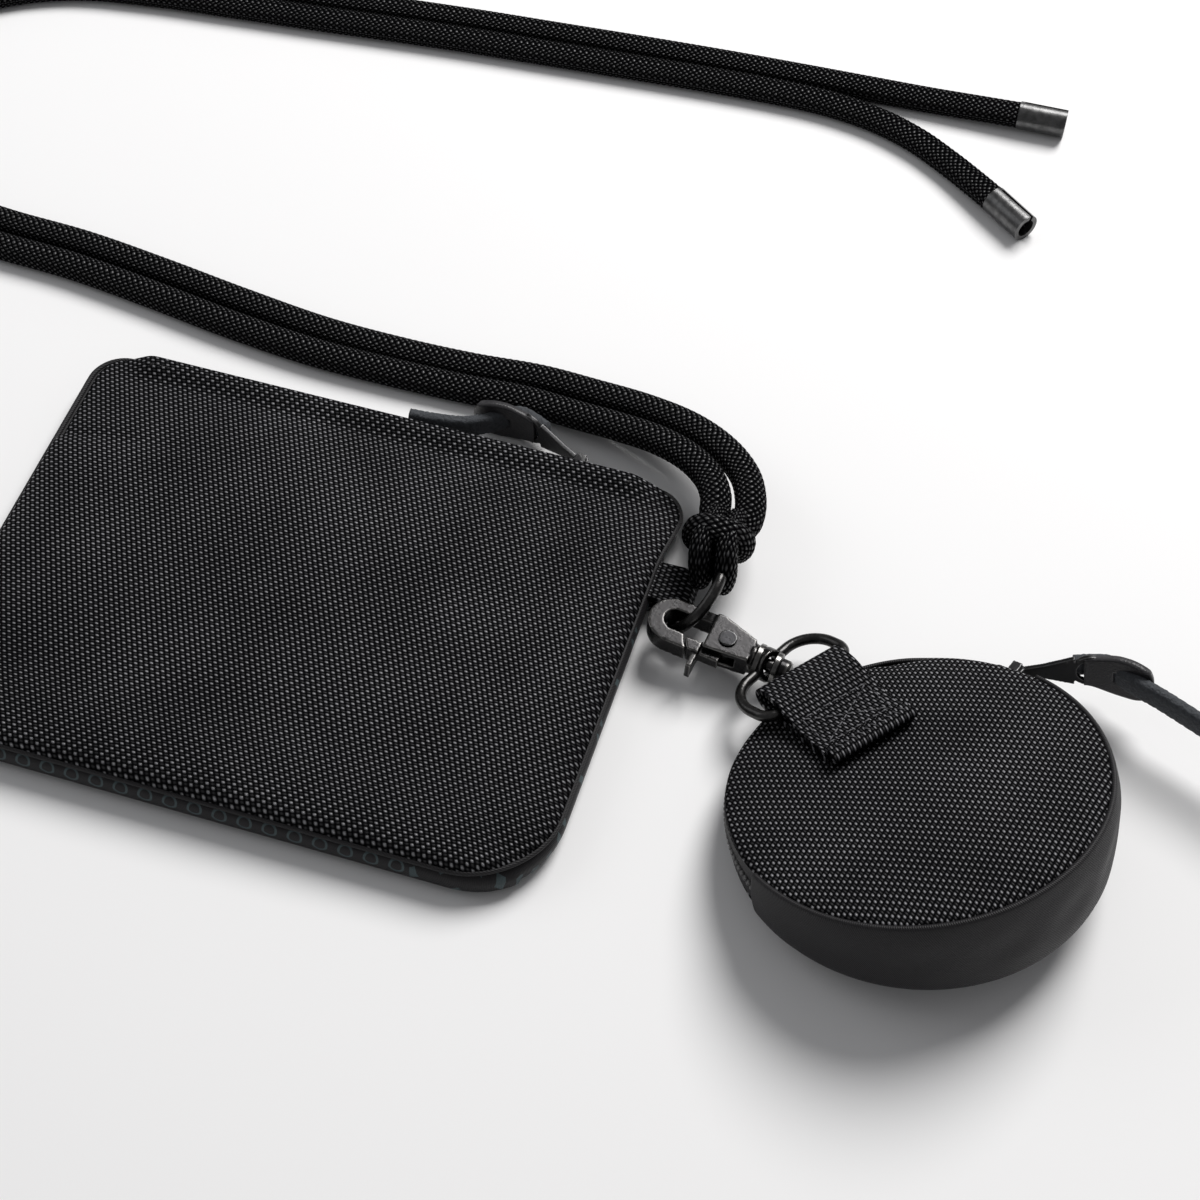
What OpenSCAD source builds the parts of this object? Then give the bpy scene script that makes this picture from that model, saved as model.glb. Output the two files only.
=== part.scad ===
// Neck pouch wallet: a flat zipped pouch on a doubled neck cord, with a round
// coin pouch clipped to its side ring by a swivel trigger snap.
// Origin: centre of the main pouch's underside. +X to the ring side, +Y to the zip, +Z up.

/* [Main pouch] */
// Width of the pouch along the zip
pouch_w = 130; // [125:1:132]
// Depth of the pouch from the zip to the bottom seam
pouch_d = 98; // [94:1:100]
// Height of the side seam above the table
seam_z = 5; // [4.5:0.1:5.5]
// Crown of the front panel above the seam
front_crown = 7; // [6:0.5:8]
// Corner radius beside the zip
top_corner = 7; // [6:0.5:9]
// Corner radius at the bottom
bottom_corner = 18; // [14:1:22]
// Thickness of the padded outer cloth
cloth = 1.2; // [1:0.1:1.4]

/* [Zip] */
// Half length of the zip chain
zip_half = 50; // [48:1:50]
// Distance of the closed slider from the middle
slider_x = 41; // [38:1:44]
// Angle of the pull plate away from the zip line
pull_out = 24; // [18:1:30]

/* [Ring and loop] */
// Radius of the ring's wire
wire_r = 1.15; // [1:0.05:1.2]
// Distance of the ring's bar from the pouch centre
bar_x = 70.3; // [70:0.1:70.6]
// Half width of the ring at the wire's centre
ring_half = 8.2; // [8:0.1:8.4]
// Tilt of the ring up from the table
ring_tilt = 55; // [52:1:58]

/* [Snap hook] */
// Direction of the hook in plan
hook_dir = -7; // [-9:1:-5]
// Downward pitch of the hook towards its swivel
hook_pitch = 4; // [3:0.5:5]
// Height of the hook's jaw
jaw_h = 4.2; // [3.8:0.1:4.4]
// Distance from the jaw's nose to the swivel's centre
hook_reach = 25; // [24.6:0.1:25.4]

/* [Coin pouch] */
// Radius of the round pouch
coin_r = 35; // [34:0.5:36]
// Half height of its side wall at the middle
coin_half = 5.5; // [5.3:0.1:6]
// Slope of the wedge's middle plane
coin_tilt = 13; // [12:0.5:14]
// Half of the wedge angle between the two faces
coin_wedge = 6; // [5.5:0.5:6.5]
// Direction of the low side, where the webbing tab is
tab_dir = 141; // [139:1:143]
// Bulge of the underside
coin_bulge = 4; // [3.5:0.5:5]
// Width of the tab's webbing
tab_w = 19; // [18:0.2:19]
// Angle between the swivel eye's bar and the tab's fold
tab_skew = 14; // [12:1:14]

/* [Cord] */
// Width of the flat braided cord
cord_w = 6.4; // [6:0.1:6.6]
// Thickness of the cord
cord_h = 4.8; // [4.4:0.1:5]
// Outer radius of the crimped metal tips
tip_r = 3.2; // [3:0.1:3.4]
// Length of the tips
tip_l = 11; // [10:0.5:12]

/* [Hidden] */
$fn = 64;

black_cloth = [0.07, 0.07, 0.075];
black_twill = [0.10, 0.09, 0.10];
gunmetal = [0.24, 0.23, 0.24];
leather = [0.14, 0.15, 0.16];
gap = 0.3;

// Main pouch
edge_y = pouch_d / 2;
zip_lift = 3.4;
zip_y = edge_y - 1;
back_crown = 7;
lining = 0.6;

// Side ring, on a bar that runs along Y
ring_leg = 5;
ring_bend = 2;
ring_y = 25;
bar_z = 3.2;
loop_w = 9.6;
loop_wall = 1.2;

// Round pouch: its top face and the eye's bar
top_tilt = coin_tilt + coin_wedge;
base_tilt = coin_tilt - coin_wedge;
bulge_r = (coin_r * coin_r + coin_bulge * coin_bulge) / (2 * coin_bulge);
coin_z = coin_half * cos(coin_tilt) + bulge_r - (bulge_r - coin_bulge) * cos(base_tilt);
coin_at = [125.5, -10.7, coin_z];
tab_wall = 1.2;
tab_gap = 2.7;
bar_at = [31.7, 0, cloth + tab_wall + tab_gap / 2];
eye_wire = 1.1;
eye_half = 11.9;
eye_reach = 11;
zip_from = -78;
zip_to = 88;
coin_slider_at = -68;
coin_pull_out = 30;

// Snap hook, in its own frame: +X from the jaw's nose to the swivel
body_h = 5.6;
gate_h = 2.6;
gate_reach = 8.15;
pivot = [16.3, 0.2];
rivet_r = 0.8;
stem_x = 21.6;
stem_r = 1.25;
stud_x = hook_reach + 2.6;
collar_h = 2;
collar_bore = 2.05;
eye_corner = 3;

// Sliders' bails, pull plates and leather pulls, each strap in its plate eye's frame
bail_y = 2.6;
bail_r = 0.6;
plate_l = 14;
plate_eye = 2.6;
head_h = 9;
zip_strap = [[5.4, -3.4, 0], [8, -6.2, 0], [11.1, -9.4, 0], [16.4, -12.8, 0], [19.9, -14.8, 0]];
coin_strap = [[5.4, -3.4, 0], [9, -5, 0], [13, -8, 0], [20, -13, -1], [28, -19, -2.5], [36, -25, -3.5],
    [44, -31, -4.5]];

// Cord: centre lines of its two strands, from the knot to the tips
floor_z = cord_h / 2;
knot_r = 6.2;
knot_face = 41;
knot_at = [75.5, 31, 12];
tail_a_route = [[72, 42, 12], [71, 46, 12], [68, 51, 11], [62.5, 55.5, 10], [55, 59, 8.5],
    [46, 61.5, 6.5], [36, 63.5, 4.5], [24, 65.3, 3], [10, 64.9, floor_z], [-6, 64.6, floor_z],
    [-24, 64.9, floor_z], [-44, 67, floor_z], [-64, 70, floor_z], [-84, 72.5, floor_z],
    [-104, 73.5, floor_z], [-122, 76, floor_z], [-140, 83, floor_z], [-153, 95, floor_z],
    [-160, 110, floor_z], [-161, 127, floor_z], [-155, 143, floor_z], [-143, 156, floor_z],
    [-125, 164.5, floor_z], [-104, 168, floor_z], [-84, 170, floor_z], [-64, 171.8, floor_z],
    [-44, 173.8, floor_z], [-24, 175.6, floor_z], [-4, 177, floor_z], [16, 178.4, floor_z],
    [36, 179.6, floor_z], [54, 180.4, floor_z], [70, 181, floor_z], [84, 181.5, floor_z],
    [96, 181.8, 2.8], [106, 182, tip_r]];
tail_b_route = [[78.8, 42, 12], [78, 47, 12], [75, 53.5, 11], [69, 59.5, 10], [60.5, 64.5, 8.5],
    [50, 68, 6.5], [38, 70.3, 4.5], [25, 71.9, 3], [10, 71.2, floor_z], [-6, 70.8, floor_z],
    [-24, 71.4, floor_z], [-44, 73.9, floor_z], [-64, 76.9, floor_z], [-84, 79.4, floor_z],
    [-104, 80.4, floor_z], [-120, 82.7, floor_z], [-135, 88.7, floor_z], [-147, 99, floor_z],
    [-153, 112, floor_z], [-154, 126, floor_z], [-149, 139, floor_z], [-139, 149.5, floor_z],
    [-123, 157.5, floor_z], [-104, 161.1, floor_z], [-84, 163.1, floor_z], [-64, 164.9, floor_z],
    [-44, 166.9, floor_z], [-24, 168.7, floor_z], [-4, 170.1, floor_z], [16, 171.5, floor_z],
    [34, 172.7, floor_z], [50, 173.4, floor_z], [63, 173.2, floor_z], [75, 171.2, floor_z],
    [85, 167.5, floor_z], [93.5, 162.6, floor_z], [100.5, 157.6, 2.8], [106.2, 153.2, tip_r]];

// Smooth step from 0 to 1 as v goes from a to b
function ease(a, b, v) = let (t = min(1, max(0, (v - a) / (b - a)))) t * t * (3 - 2 * t);
function turn_z(a, p) = [p.x * cos(a) - p.y * sin(a), p.x * sin(a) + p.y * cos(a), p.z];
function turn_y(a, p) = [p.x * cos(a) + p.z * sin(a), p.y, p.z * cos(a) - p.x * sin(a)];

// Outline of the pouch: four rounded corners, counter-clockwise from the right
function corner(cx, cy, r, from, n) =
    [for (i = [0:n]) [cx + r * cos(from + 90 * i / n), cy + r * sin(from + 90 * i / n)]];
function side(a, b, n) = [for (i = [1:n - 1]) a + (b - a) * i / n];
function outline(w, d, rt, rb) =
    let (tr = corner(w - rt, d - rt, rt, 0, 5), tl = corner(rt - w, d - rt, rt, 90, 5),
        bl = corner(rb - w, rb - d, rb, 180, 6), br = corner(w - rb, rb - d, rb, 270, 6))
    concat(tr, side(tr[5], tl[0], 12), tl, side(tl[5], bl[0], 6),
        bl, side(bl[6], br[0], 8), br, side(br[6], tr[0], 6));

// How far a panel's rim stands off the seam, to make room for the zip
function zip_room(x, y) = zip_lift * ease(edge_y - 5, edge_y - 1, y) * (1 - ease(53, 61, abs(x)));

// A crowned shell between the seam and a dome, rings of the outline shrunk to the middle
module pillow(rim_out, inset, crown, up, wall) {
    n = len(rim_out);
    steps = [1, 0.985, 0.95, 0.88, 0.76, 0.6, 0.4, 0.2];
    function high(p, t, lift) =
        let (z = seam_z + up * (zip_room(p.x, p.y) * pow(t, 6) + lift * (1 - pow(t, 4))))
        max(up < 0 ? (lift < crown ? wall : 0) : 0, z);
    outer = [for (t = steps, p = rim_out) [p.x * t, p.y * t, high(p, t, crown)]];
    inner = [for (t = steps, p = rim_out)
        [p.x * t * inset, p.y * t * inset, high(p, t, crown - wall)]];
    top_mid = [0, 0, high([0, 0], 0, crown)];
    low_mid = [0, 0, high([0, 0], 0, crown - wall)];
    m = n * len(steps);
    points = concat(outer, inner, [top_mid, low_mid]);
    function quad(a, b, c, d) = up > 0 ? [[a, b, c], [a, c, d]] : [[a, c, b], [a, d, c]];
    walls = [for (k = [0:len(steps) - 2], i = [0:n - 1])
        let (a = k * n + i, b = k * n + (i + 1) % n)
        each concat(quad(b, a, a + n, b + n), quad(m + a, m + b, m + b + n, m + a + n))];
    rim = [for (i = [0:n - 1]) let (b = (i + 1) % n) each quad(i, b, m + b, m + i)];
    caps = [for (i = [0:n - 1]) let (a = m - n + i, b = m - n + (i + 1) % n)
        each [up > 0 ? [b, a, 2 * m] : [a, b, 2 * m],
            up > 0 ? [m + a, m + b, 2 * m + 1] : [m + b, m + a, 2 * m + 1]]];
    polyhedron(points, concat(walls, rim, caps));
}

module front_panel() {
    color(black_cloth)
        pillow(outline(pouch_w / 2, edge_y, top_corner, bottom_corner), 0.975, front_crown, 1, cloth);
}

module back_panel() {
    color(black_twill)
        pillow(outline(pouch_w / 2, edge_y, top_corner, bottom_corner), 0.975, back_crown, -1, cloth);
}

// The lining is a flat open-topped bag, a front and a back sheet joined at three edges
module pocket_lining() {
    size = [pouch_w - 44, pouch_d - 30, 6.6];
    color([0.2, 0.2, 0.21])
        translate([-size.x / 2, -edge_y + 17, cloth + 0.3])
            difference() {
                cube(size);
                translate([lining, lining, lining])
                    cube([size.x - 2 * lining, size.y, size.z - 2 * lining]);
            }
}

module zip_tapes() {
    color(black_twill)
        for (up = [-1, 1])
            translate([-zip_half, zip_y - 0.9, seam_z + (up > 0 ? 0.95 : -2.55)])
                cube([2 * zip_half, 0.8, 1.6]);
}

module zip_coil() {
    color([0.09, 0.09, 0.09])
        translate([-zip_half, zip_y - 1.1, seam_z - 0.85])
            cube([2 * zip_half, 1.4, 1.7]);
}

module zip_stops() {
    color(gunmetal)
        for (x = [-zip_half - 1.2, zip_half + 0.1])
            translate([x, zip_y - 1.3, seam_z - 0.85])
                cube([1.1, 1.8, 1.7]);
}

// Slider body beside the zip line: an outer plate and an inner plate, with side rails
// and a bail that the pull plate hangs on. Its chain runs along X, outwards is +Y.
module slider(plate_h) {
    profile = [[-5, -1.8], [-3, -2.6], [2.5, -2.6], [4.5, -1.6], [4.5, 1.6], [2.5, 2.6], [-3, 2.6],
        [-5, 1.8]];
    translate([0, 1, 0])
        rotate([90, 0, 0])
            linear_extrude(1)
                polygon(profile * (plate_h / 5.2));
    translate([0, -2.1, 0])
        rotate([90, 0, 0])
            linear_extrude(0.8)
                polygon(profile * (plate_h / 5.2));
    for (z = [-1.9, 1.1])
        translate([-1, 0.9, z])
            cube([2, 2.6, 0.8]);
    translate([0, bail_y, -1.3])
        cylinder(r = bail_r, h = 2.6, $fn = 32);
}

// Flat pull plate along +X from its hinge at the origin, with a round eye at the far end
module pull_plate() {
    difference() {
        union() {
            rotate([90, 0, 0])
                linear_extrude(1, center = true)
                    polygon([[1.2, -0.9], [5, -1.6], [plate_l - 3, -3.4], [plate_l - 3, 3.4],
                        [5, 1.6], [1.2, 0.9]]);
            translate([plate_l, 0, 0])
                rotate([90, 0, 0])
                    cylinder(r = 3.7, h = 1, center = true);
            cylinder(r = bail_r + 0.9, h = 2, center = true, $fn = 32);
        }
        translate([plate_l, 0, 0])
            rotate([90, 0, 0])
                cylinder(r = plate_eye, h = 4, center = true);
        cylinder(r = bail_r + 0.1, h = 8, center = true, $fn = 32);
    }
}

// Leather pull: a neck through the plate's eye, a strap behind it, a slit head in front
// and the strap's tail, drawn through the head and on along points
module leather_pull(points) {
    neck = 2.1;
    rotate([90, 0, 0])
        cylinder(r = plate_eye - gap, h = 2 * neck, center = true);
    translate([-1.6, 0.8, -1.6])
        cube([8, 1.3, 3.2]);
    translate([-1.6, -neck - 0.6, -head_h / 2])
        cube([7.6, 1.8, head_h]);
    translate([6, -neck + 1.2, 0])
        rotate([90, 0, 0])
            cylinder(r = head_h / 2, h = 1.8);
    sweep(points, 1.3, 3, 8);
}

// Tube of elliptical section, half_w wide across the path and half_h high, along points
module sweep(points, half_w, half_h, n) {
    last = len(points) - 1;
    function heading(i) = let (d = points[min(i + 1, last)] - points[max(i - 1, 0)]) d / norm(d);
    rings = [for (i = [0:last]) let (t = heading(i), s = cross(t, [0, 0, 1]), side = s / norm(s),
        up = cross(side, t)) each [for (k = [0:n - 1]) points[i]
            + side * half_w * cos(360 * (k + 0.5) / n) + up * half_h * sin(360 * (k + 0.5) / n)]];
    skin = [for (i = [0:last - 1], k = [0:n - 1]) let (a = i * n + k, b = i * n + (k + 1) % n)
        each [[a, b, b + n], [a, b + n, a + n]]];
    ends = [[for (k = [0:n - 1]) n - 1 - k], [for (k = [0:n - 1]) last * n + k]];
    polyhedron(rings, concat(skin, ends));
}

module at_zip_slider() {
    translate([slider_x, zip_y + 0.7, seam_z])
        children();
}

module zip_slider() {
    color(gunmetal)
        at_zip_slider()
            slider(5.2);
}

module zip_pull_plate() {
    color(gunmetal)
        at_zip_slider()
            translate([0, bail_y, 0])
                rotate([0, 0, 180 - pull_out])
                    pull_plate();
}

module zip_leather_pull() {
    color(leather)
        at_zip_slider()
            translate([0, bail_y, 0])
                rotate([0, 0, 180 - pull_out])
                    translate([plate_l, 0, 0])
                        mirror([0, 1, 0])
                            leather_pull(zip_strap);
}

// Webbing loop from the side seam around the ring's bar
module side_loop() {
    r = wire_r + 0.25;
    color(black_cloth)
        translate([0, ring_y + ring_half - 1.4 - loop_w, bar_z])
            rotate([-90, 0, 0])
                linear_extrude(loop_w)
                    difference() {
                        union() {
                            translate([bar_x, 0])
                                circle(r + loop_wall, $fn = 48);
                            translate([pouch_w / 2 - 0.8 + 0.9, -r - loop_wall])
                                square([bar_x - pouch_w / 2 - 0.1, 2 * (r + loop_wall)]);
                        }
                        translate([bar_x, 0])
                            circle(r, $fn = 48);
                        translate([pouch_w / 2 + 2, -r])
                            square([bar_x - pouch_w / 2 - 2, 2 * r]);
                    }
}

// Round bend and straight leg of a wire that turns off the end of a bar along Y
module wire_side(half, bend, leg, wire) {
    translate([bend, half - bend, 0])
        rotate([0, 0, 90])
            rotate_extrude(angle = 90)
                translate([bend, 0])
                    circle(wire, $fn = 32);
    translate([bend, half, 0])
        rotate([0, 90, 0])
            cylinder(r = wire, h = leg - bend, $fn = 32);
}

// Ring: a bar, two short legs and a half circle, all of one wire
module d_ring() {
    color(gunmetal)
        translate([bar_x, ring_y, bar_z])
            rotate([0, -ring_tilt, 0]) {
                rotate([90, 0, 0])
                    cylinder(r = wire_r, h = 2 * (ring_half - ring_bend), center = true, $fn = 32);
                for (s = [0, 1])
                    mirror([0, s, 0]) {
                        wire_side(ring_half, ring_bend, ring_leg, wire_r);
                        translate([ring_leg, 0, 0])
                            rotate_extrude(angle = 90)
                                translate([ring_half, 0])
                                    circle(wire_r, $fn = 32);
                    }
            }
}

// Frames of the coin pouch: its middle plane, its top face and the swivel eye's bar.
// In each, +X points to the low side with the tab.
module at_coin() {
    translate(coin_at)
        rotate([0, 0, tab_dir])
            rotate([0, coin_tilt, 0])
                children();
}

module at_coin_top() {
    at_coin()
        translate([0, 0, coin_half])
            rotate([0, coin_wedge, 0])
                children();
}

module at_eye() {
    at_coin_top()
        translate(bar_at)
            rotate([0, 0, tab_skew])
                children();
}

// The same places as points, for the hook, which hangs on the eye's collar
coin_top_at = coin_at + turn_z(tab_dir, turn_y(coin_tilt, [0, 0, coin_half]));
boss_local = bar_at + turn_z(tab_skew, [eye_reach, 0, 0]);
boss_at = coin_top_at + turn_z(tab_dir, turn_y(top_tilt, boss_local));
hook_axis = turn_z(hook_dir, turn_y(hook_pitch, [1, 0, 0]));

module at_hook() {
    translate(boss_at - hook_reach * hook_axis)
        rotate([0, 0, hook_dir])
            rotate([0, hook_pitch, 0])
                children();
}

// Jaw with its mouth and the gap for the gate, then the body, its flange and the swivel's stem
module jaw_outline() {
    difference() {
        union() {
            translate([5, 0])
                circle(5);
            translate([5, -5])
                square([8.5, 10]);
        }
        translate([5.4, 0.3])
            circle(2.3);
        translate([5.4, -2])
            square([10, 4.6]);
        intersection() {
            translate(pivot)
                circle(gate_reach + gap);
            translate([6, -6])
                square([10, 5]);
        }
    }
}

module hook_body() {
    color(gunmetal)
        at_hook()
            difference() {
                union() {
                    linear_extrude(jaw_h, center = true)
                        jaw_outline();
                    linear_extrude(body_h, center = true)
                        polygon([[12.4, -3.4], [stem_x, -2.6], [stem_x, 2.6], [14, 5], [12.4, 5]]);
                    translate([stem_x, 0, 0])
                        rotate([0, 90, 0])
                            cylinder(r = 3, h = 0.8);
                    translate([stem_x, 0, 0])
                        rotate([0, 90, 0])
                            cylinder(r = stem_r, h = stud_x + 1.5 - stem_x);
                }
                translate([12, -6, -gate_h / 2 - 0.1])
                    cube([7, 8.9, gate_h + 0.2]);
                translate([pivot.x, pivot.y, -body_h])
                    cylinder(r = rivet_r, h = 2 * body_h, $fn = 32);
            }
}

// Gate: a hub on the rivet, an arm that closes the jaw and a thumb tab
module hook_gate() {
    color(gunmetal)
        at_hook()
            difference() {
                union() {
                    translate([pivot.x, pivot.y, 0])
                        cylinder(r = 2.4, h = gate_h, center = true);
                    translate([11.8, -4.6, -gate_h / 2])
                        cube([pivot.x - 11.8, 3, gate_h]);
                    linear_extrude(jaw_h, center = true)
                        intersection() {
                            translate(pivot)
                                circle(gate_reach);
                            translate([8, -4.8])
                                square([4.1, 2.4]);
                        }
                    translate([11, -8.2, -jaw_h / 2 - 0.4])
                        cube([1.1, 4.4, jaw_h]);
                }
                translate([pivot.x, pivot.y, -body_h])
                    cylinder(r = rivet_r + 0.06, h = 2 * body_h, $fn = 32);
                translate([pivot.x, pivot.y, -0.6])
                    cylinder(r = 1.9, h = 1.2);
            }
}

module gate_rivet() {
    color([0.16, 0.16, 0.16])
        at_hook()
            translate([pivot.x, pivot.y, 0]) {
                cylinder(r = rivet_r, h = body_h, center = true, $fn = 32);
                for (z = [-body_h / 2 - 0.5, body_h / 2])
                    translate([0, 0, z])
                        cylinder(r = 1.8, h = 0.5);
            }
}

// Torsion spring in the middle of the gate's hub: two turns of wire around the rivet
module gate_spring() {
    color([0.5, 0.5, 0.5])
        at_hook()
            translate([pivot.x, pivot.y, 0])
                for (z = [-0.27, 0.27])
                    translate([0, 0, z])
                        rotate_extrude()
                            translate([1.5, 0])
                                circle(0.22, $fn = 16);
}

// Washer and rounded end that hold the eye's collar on the stem
module swivel_stud() {
    color(gunmetal)
        at_hook()
            translate([stud_x, 0, 0])
                rotate([0, 90, 0])
                    difference() {
                        union() {
                            cylinder(r = 2.9, h = 0.6);
                            cylinder(r = 2.1, h = 1.9);
                        }
                        translate([0, 0, -1])
                            cylinder(r = stem_r, h = 2.5);
                    }
}

// Swivel eye: the bar in the tab, two bowed sides and the collar on the stem
module swivel_eye() {
    bow = eye_reach - eye_corner - 1.6;
    color(gunmetal)
        at_eye() {
            rotate([90, 0, 0])
                cylinder(r = eye_wire, h = 2 * (eye_half - eye_corner), center = true, $fn = 32);
            for (s = [0, 1])
                mirror([0, s, 0]) {
                    wire_side(eye_half, eye_corner, eye_corner + 1.6, eye_wire);
                    translate([eye_corner + 1.6, eye_half - bow, 0])
                        rotate_extrude(angle = 90)
                            translate([bow, 0])
                                circle(eye_wire, $fn = 32);
                    translate([eye_reach, eye_half - bow, 0])
                        rotate([90, 0, 0])
                            cylinder(r = eye_wire, h = eye_half - bow - collar_bore - 0.5, $fn = 32);
                }
            translate([eye_reach, 0, 0])
                rotate([0, 90, 0])
                    difference() {
                        cylinder(r = 3.4, h = collar_h, center = true);
                        cylinder(r = collar_bore, h = 3 * collar_h, center = true);
                    }
        }
}

// Half spaces above the coin pouch's top face and below its base
module above_top() {
    translate([0, 0, coin_half])
        rotate([0, coin_wedge, 0])
            translate([-60, -60, 0])
                cube([120, 120, 60]);
}

module below_base() {
    translate([0, 0, -coin_half])
        rotate([0, -coin_wedge, 0])
            translate([-60, -60, -60])
                cube([120, 120, 60]);
}

// Wall of the coin pouch from one angle to another, measured from the tab
module coin_wall(from, to, r, wall, low, high) {
    difference() {
        rotate([0, 0, from])
            rotate_extrude(angle = to - from, $fn = 96)
                translate([r - wall, low])
                    square([wall, high - low]);
        above_top();
        below_base();
    }
}

module coin_top_panel() {
    color(black_cloth)
        at_coin_top()
            cylinder(r = coin_r, h = cloth, $fn = 96);
}

// The base is a shallow dome, a thin cap of a large sphere
module coin_bottom_panel() {
    color(black_cloth)
        at_coin()
            translate([0, 0, -coin_half])
                rotate([0, -coin_wedge, 0])
                    intersection() {
                        translate([0, 0, bulge_r - coin_bulge])
                            difference() {
                                sphere(bulge_r, $fn = 128);
                                sphere(bulge_r - cloth, $fn = 128);
                            }
                        translate([0, 0, -20])
                            cylinder(r = coin_r - 0.6, h = 20, $fn = 96);
                    }
}

module coin_gusset() {
    color(black_twill)
        at_coin()
            coin_wall(zip_to, 360 + zip_from, coin_r, cloth, -30, 30);
}

module coin_zip_tapes() {
    color(black_twill)
        at_coin() {
            coin_wall(zip_from + 0.3, zip_to - 0.3, coin_r, 0.8, 0.9, 30);
            coin_wall(zip_from + 0.3, zip_to - 0.3, coin_r, 0.8, -30, -0.9);
        }
}

module coin_zip_coil() {
    color([0.3, 0.3, 0.3])
        at_coin()
            coin_wall(zip_from + 1, zip_to - 1, coin_r + 0.3, 1.2, -0.8, 0.8);
}

module at_coin_slider() {
    at_coin()
        rotate([0, 0, coin_slider_at])
            translate([coin_r + 0.7, 0, 0])
                rotate([0, 0, -90])
                    children();
}

module coin_zip_slider() {
    color(gunmetal)
        at_coin_slider()
            slider(4.4);
}

module coin_pull_plate() {
    color(gunmetal)
        at_coin_slider()
            translate([0, bail_y, 0])
                rotate([0, 0, coin_pull_out])
                    pull_plate();
}

module coin_leather_pull() {
    color(leather)
        at_coin_slider()
            translate([0, bail_y, 0])
                rotate([0, 0, coin_pull_out])
                    translate([plate_l, 0, 0])
                        leather_pull(coin_strap);
}

// Tab of folded webbing: its fold round the eye's bar, then both layers down to the hem
module coin_tab() {
    fold_x = 34.2;
    hem_x = 12;
    mid = tab_wall + tab_gap / 2;
    color(black_cloth)
        at_coin_top()
            translate([0, tab_w / 2, cloth])
                rotate([90, 0, 0])
                    linear_extrude(tab_w) {
                        difference() {
                            union() {
                                translate([fold_x, mid])
                                    circle(mid, $fn = 48);
                                translate([27, 0])
                                    square([fold_x - 27, 2 * mid]);
                            }
                            translate([fold_x, mid])
                                circle(tab_gap / 2, $fn = 48);
                            translate([26, tab_wall])
                                square([fold_x - 26, tab_gap]);
                        }
                        polygon([[hem_x, 0], [27, 0], [27, tab_wall], [25, tab_wall],
                            [27, 2 * mid - tab_wall], [27, 2 * mid], [22, 2 * tab_wall + 0.4],
                            [hem_x + 3, 2 * tab_wall + 0.2], [hem_x + 2.6, 3.2], [hem_x, 3]]);
                    }
}

// Knot that ties the doubled cord to the ring: a short thick body with a flat top end
module cord_knot() {
    color(black_cloth) {
        translate(knot_at)
            sphere(knot_r, $fn = 48);
        translate(knot_at)
            rotate([-90, 0, 0])
                cylinder(r = knot_r, h = knot_face - knot_at.y, $fn = 48);
    }
}

module cord_tail_a() {
    color(black_cloth)
        sweep(tail_a_route, cord_w / 2, cord_h / 2, 10);
}

module cord_tail_b() {
    color(black_cloth)
        sweep(tail_b_route, cord_w / 2, cord_h / 2, 10);
}

// Crimped tip: a split tube that points along its strand's last step
module cord_tip(route) {
    end = route[len(route) - 1];
    step = end - route[len(route) - 2];
    color(gunmetal)
        translate(end)
            rotate([0, 0, atan2(step.y, step.x)])
                rotate([0, 90, 0])
                    difference() {
                        cylinder(r = tip_r, h = tip_l);
                        translate([0, 0, 1])
                            cylinder(r = tip_r - 1.1, h = tip_l);
                        rotate([0, 0, 155])
                            translate([0, -0.4, 1])
                                cube([tip_r + 1, 0.8, tip_l]);
                    }
}

module cord_tip_a() {
    cord_tip(tail_a_route);
}

module cord_tip_b() {
    cord_tip(tail_b_route);
}

front_panel();
back_panel();
pocket_lining();
zip_tapes();
zip_coil();
zip_stops();
zip_slider();
zip_pull_plate();
zip_leather_pull();
side_loop();
d_ring();
hook_body();
hook_gate();
gate_rivet();
gate_spring();
swivel_stud();
swivel_eye();
coin_top_panel();
coin_bottom_panel();
coin_gusset();
coin_zip_tapes();
coin_zip_coil();
coin_zip_slider();
coin_pull_plate();
coin_leather_pull();
coin_tab();
cord_knot();
cord_tail_a();
cord_tail_b();
cord_tip_a();
cord_tip_b();
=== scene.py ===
# %% [markdown]
# # A neck pouch on a doubled cord
# The frame below is the measured part: every body, joint and metal fitting is already in it.
# This notebook dresses it. Cloth, cord, webbing and leather replace their plain solids, the metal
# gets its cast edges back, and each surface gets a finish built from nodes.

import math

import bmesh
import bpy
import numpy as np
from mathutils import Matrix, Vector


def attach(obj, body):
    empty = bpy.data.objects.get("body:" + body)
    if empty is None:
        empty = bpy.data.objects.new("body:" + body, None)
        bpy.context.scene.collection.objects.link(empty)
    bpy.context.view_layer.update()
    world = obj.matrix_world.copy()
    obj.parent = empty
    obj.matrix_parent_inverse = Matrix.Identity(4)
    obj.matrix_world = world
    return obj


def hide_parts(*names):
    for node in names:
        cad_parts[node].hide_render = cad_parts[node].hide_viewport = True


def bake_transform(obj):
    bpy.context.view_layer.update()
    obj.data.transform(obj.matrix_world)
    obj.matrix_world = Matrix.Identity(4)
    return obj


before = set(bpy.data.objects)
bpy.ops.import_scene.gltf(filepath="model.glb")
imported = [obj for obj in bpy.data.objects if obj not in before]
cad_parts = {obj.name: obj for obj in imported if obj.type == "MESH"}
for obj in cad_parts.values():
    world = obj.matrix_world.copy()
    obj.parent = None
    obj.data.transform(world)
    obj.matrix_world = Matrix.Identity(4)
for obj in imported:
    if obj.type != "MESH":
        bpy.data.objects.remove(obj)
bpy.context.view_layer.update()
MM = 0.001

# %% [markdown]
# ## The camera first
# A camera is easiest to check when nothing else has been made. It looks down at the table at
# 54.5 degrees from a little to the right, with a lens of about 70 mm, so lines hardly converge.

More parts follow.
